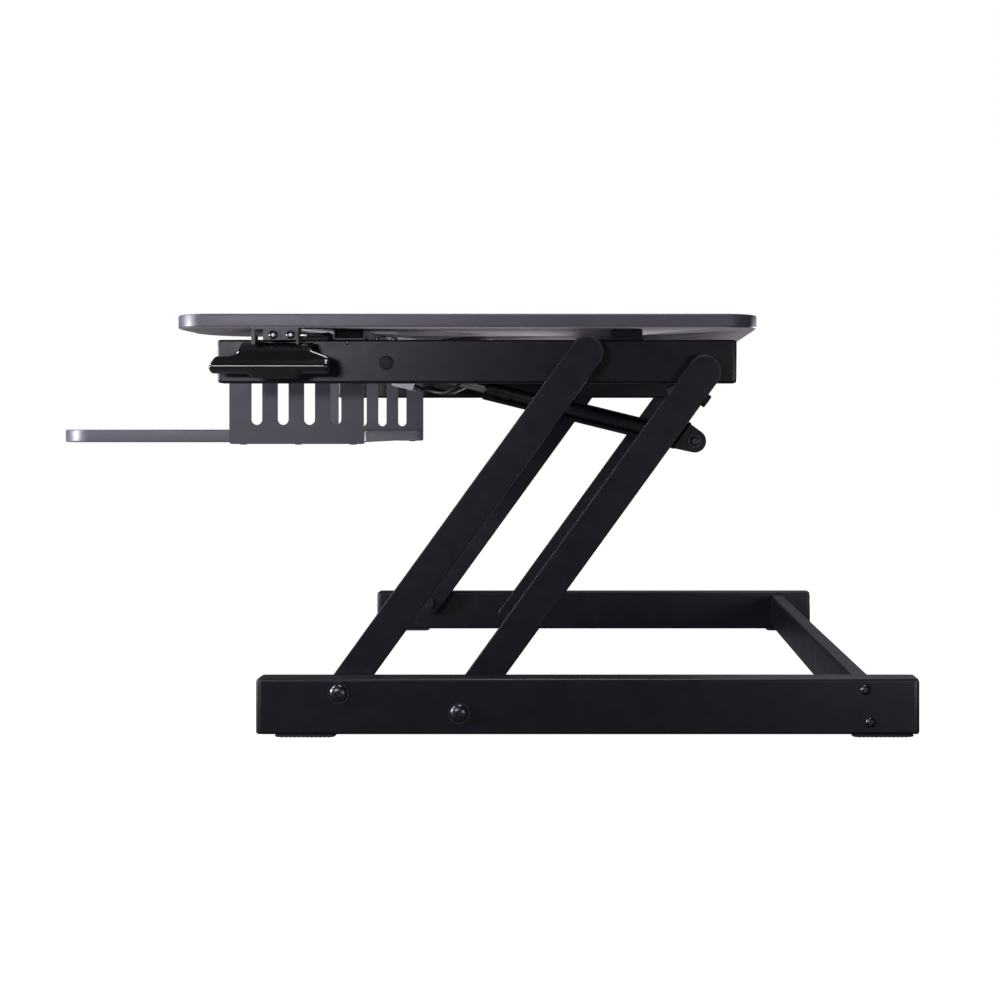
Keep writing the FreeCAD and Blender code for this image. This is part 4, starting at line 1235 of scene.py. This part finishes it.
    def stations(self, low: float, high: float, middle: float) -> list[float]:
        """Places along Y for the sections, close together where the outline changes.

        Args:
            low: Front end in millimetres.
            high: Rear end.
            middle: Middle of the hub.

        Returns:
            Sorted places.
        """
        places = [low + self.tip * share for share in self.tip_shares]
        places += [high - self.tip * share for share in self.tip_shares]
        for way, flare in zip((-1, 1), self.flare):
            edge = middle + way * self.hub_half
            places += [edge + way * at for at in self.edge_places]
            places += [edge + way * flare * share for share in self.flare_shares]
            places += [middle + way * at for at in self.hub_places]
        places += [low + at for at in self.front_places]
        return sorted(places + [high - self.rear_place])

    def make_grip(self, side: Side) -> None:
        """Moulded grip, lofted through its sections and cut for ears, spring and pin.

        Args:
            side: Side that it is on.
        """
        node = "squeeze_handle_" + side.value
        mesh = self.loft(node, side)
        host = bpy.data.objects.new(node + "_host", mesh)
        round_off = host.modifiers.new("round_off", "SUBSURF")
        round_off.levels = 2
        round_off.render_levels = 2
        cutter = self.cutter(side)
        cut = host.modifiers.new("cut", "BOOLEAN")
        cut.operation = "DIFFERENCE"
        cut.solver = "EXACT"
        cut.object = cutter
        mesh = evaluated(host)
        bpy.data.objects.remove(cutter)
        mesh.materials.clear()
        mesh.materials.append(HANDLE_NYLON.make())
        mesh.shade_smooth()
        mesh.set_sharp_from_angle(angle=math.radians(self.crease))
        settle("grip_" + side.value, mesh, "handle_" + side.value, "handle", node)

    def loft(self, node: str, side: Side) -> Mesh:
        """Coarse skin of a grip through its sections.

        Args:
            node: CAD node of the grip, which gives its length.
            side: Side that it is on.

        Returns:
            The mesh.
        """
        box_low, box_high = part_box(node)
        low, high = box_low[1] / MM, box_high[1] / MM
        middle = joint_place("squeeze_" + side.value)[1] / MM + self.hub_shift
        shape = bmesh.new()
        rings = []
        for y in self.stations(low, high, middle):
            from_end = min(y - low, high - y) / self.tip
            size = 1.0
            if from_end < 1:
                size = self.end_size + (1 - self.end_size) * math.sqrt(1 - (1 - from_end) ** 2)
            lean = self.slant * max(0.0, 1 - (y - low) / self.slant_run)
            ring = []
            for x, z in self.section(y, middle):
                x = self.core[0] + (x - self.core[0]) * size
                z = self.core[1] + (z - self.core[1]) * size
                back = y + lean * max(0.0, z - self.core[1] + self.slant_low) / self.slant_rise
                ring.append(shape.verts.new((side.way * x * MM, back * MM, z * MM)))
            rings.append(ring)
        skin_between(shape, rings)
        bmesh.ops.recalc_face_normals(shape, faces=shape.faces)
        mesh = bpy.data.meshes.new(node)
        shape.to_mesh(mesh)
        shape.free()
        return mesh

    def cutter(self, side: Side) -> bpy.types.Object:
        """Blocks and a bore that the grip is cut with.

        Args:
            side: Side that the grip is on.

        Returns:
            Helper object, linked to the scene.
        """
        x, y, z = (c / MM for c in joint_place("squeeze_" + side.value))
        shape = bmesh.new()
        for front, rear, inner, outer, floor in self.cuts:
            ends = sorted(side.way * (abs(x) + face) * MM for face in (inner, outer))
            rounded_block(shape, (ends[0], (y + front) * MM, (z + floor) * MM),
                          (ends[1], (y + rear) * MM, (z + self.cut_top) * MM),
                          self.cut_radius * MM, steps=1)
        turn = Matrix.Translation((x * MM, y * MM, z * MM)) @ Matrix.Rotation(math.pi / 2, 4, "X")
        radius, length = (size * MM for size in self.bore)
        bmesh.ops.create_cone(shape, cap_ends=True, segments=32, radius1=radius, radius2=radius,
                              depth=length, matrix=turn)
        mesh = bpy.data.meshes.new("cutter_" + side.value)
        shape.to_mesh(mesh)
        shape.free()
        cutter = bpy.data.objects.new("cutter_" + side.value, mesh)
        bpy.context.scene.collection.objects.link(cutter)
        return cutter

    def make_tab_screws(self) -> None:
        """Button screws on the coarse tab of each bracket."""
        low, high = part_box("handle_tab_screws")
        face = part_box("handle_bracket_right")[1][0]
        edge = self.tab_screw.head
        spots = [((side.way * face, y, (low[2] + high[2]) / 2), (side.way, 0, 0)) for side in Side
                 for y in (low[1] + edge, high[1] - edge)]
        mesh = SocketScrews("tab_screws", self.tab_screw.inputs(high[0] - face)).apply(spots, BLACK_CHROME)
        settle("tab_screws", mesh, "platform", "zinc", "handle_tab_screws")

    def make_springs(self) -> None:
        """Wire springs that push the grips back down."""
        spots = [(joint_place("squeeze_" + side.value), (0, 1, 0)) for side in Side]
        coils = TorsionSprings("grip_springs", dict(self.coil))
        settle("grip_springs", coils.apply(spots, ZINC), "platform", "zinc", "handle_springs")


@dataclass
class GasSpring:
    """Locking gas spring, its cover and its release."""

    def build(self) -> None:
        """Dress the spring's parts."""
        dress(POWDER_COAT, "gas_spring_cover")
        dress(ENAMEL, "gas_spring_cylinder", "gas_spring_piston", "cover_clamps")
        dress(CHROME, "gas_spring_rod", "valve_pin")
        dress(BUSH_NYLON, "rod_guide_seal")
        dress(DIE_CAST, "release_housing", "release_lever_left", "release_lever_right")
        dress(ZINC, "rod_jam_nut", "release_lever_axle")
        dress(NICKEL, "cable_ferrules")


@dataclass
class Cables:
    """Bowden cables from each grip to the release.

    Attributes:
        radius: Radius of the sheath, in metres.
        length: Length of a cable, in metres; not used.
        offset: What the packing adds to Y, in millimetres.
        apart: Distance of both cables' exits from the middle, in millimetres.
        anchor: Y and Z of the release housing's anchor, in millimetres.
        tilt: Tilt of the housing, in degrees.
        below: Distance of the exit below the anchor, in millimetres.
        ahead: Places of the exit and of a point straight ahead of it, in millimetres.
        route: Points that a cable then follows, in millimetres, on the right.
    """

    radius: float = 2.5 * MM
    length: float = 0.577
    offset: float = 6.25
    apart: float = 6.0
    anchor: tuple[float, float] = (-94.0, 404.4)
    tilt: float = -13.84
    below: float = 20.0
    ahead: tuple[float, float] = (-4.0, 12.0)
    route: tuple = (
        (21.0, -66.0, 379.0),
        (48.0, -50.0, 388.0),
        (88.0, -32.0, 400.0),
        (150.0, 0.0, 413.0),
        (222.0, 26.0, 430.0),
        (276.0, 18.0, 438.0),
        (310.0, -24.0, 435.0),
        (324.0, -70.0, 426.0),
        (331.0, -112.0, 422.5),
        (338.0, -146.0, 420.0),
        (347.0, -163.5, 433.5),
        (366.0, -158.0, 436.5),
        (382.5, -160.0, 435.0),
        (388.0, -169.0, 434.0),
        (388.0, -179.3, 434.0),
    )

    def build(self) -> None:
        """Lay both cables."""
        for side in Side:
            self.lay(side)

    def lay(self, side: Side) -> None:
        """Lay one cable along its route.

        Args:
            side: Side of its grip.
        """
        name = "cable_" + side.value
        points = [(side.way * self.apart, *place) for place in self.start()]
        points += [(side.way * x, y + self.offset, z) for x, y, z in self.route]
        data = bpy.data.curves.new(name, "CURVE")
        data.dimensions = "3D"
        spline = data.splines.new("NURBS")
        spline.points.add(len(points) - 1)
        for point, place in zip(spline.points, points):
            point.co = (*(c * MM for c in place), 1.0)
        spline.order_u = 3
        spline.use_endpoint_u = True
        data.resolution_u = 12
        data.bevel_depth = self.radius
        data.bevel_resolution = 4
        data.use_fill_caps = True
        data.materials.append(PVC.make())
        cable = bpy.data.objects.new(name, data)
        bpy.context.scene.collection.objects.link(cable)
        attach(cable, "platform")
        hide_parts("control_" + name)
        LOG.info("%s: %d points", name, len(points))

    def start(self) -> list[tuple[float, float]]:
        """Where the cable leaves the housing, and a point straight ahead of that.

        Returns:
            Both points as Y and Z, in millimetres.
        """
        tilt = math.radians(self.tilt)
        return [(self.anchor[0] + self.offset + along * math.cos(tilt) + self.below * math.sin(tilt),
                 self.anchor[1] + along * math.sin(tilt) - self.below * math.cos(tilt))
                for along in self.ahead]


def main() -> None:
    """Build the studio, dress the frame and make the pieces."""
    logging.basicConfig(level=logging.INFO, format="%(message)s")
    Studio().build()
    Cables().build()
    BaseFrame().build()
    Linkage().build()
    Platform().build()
    SqueezeHandles().build()
    GasSpring().build()


if __name__ == "__main__":
    main()
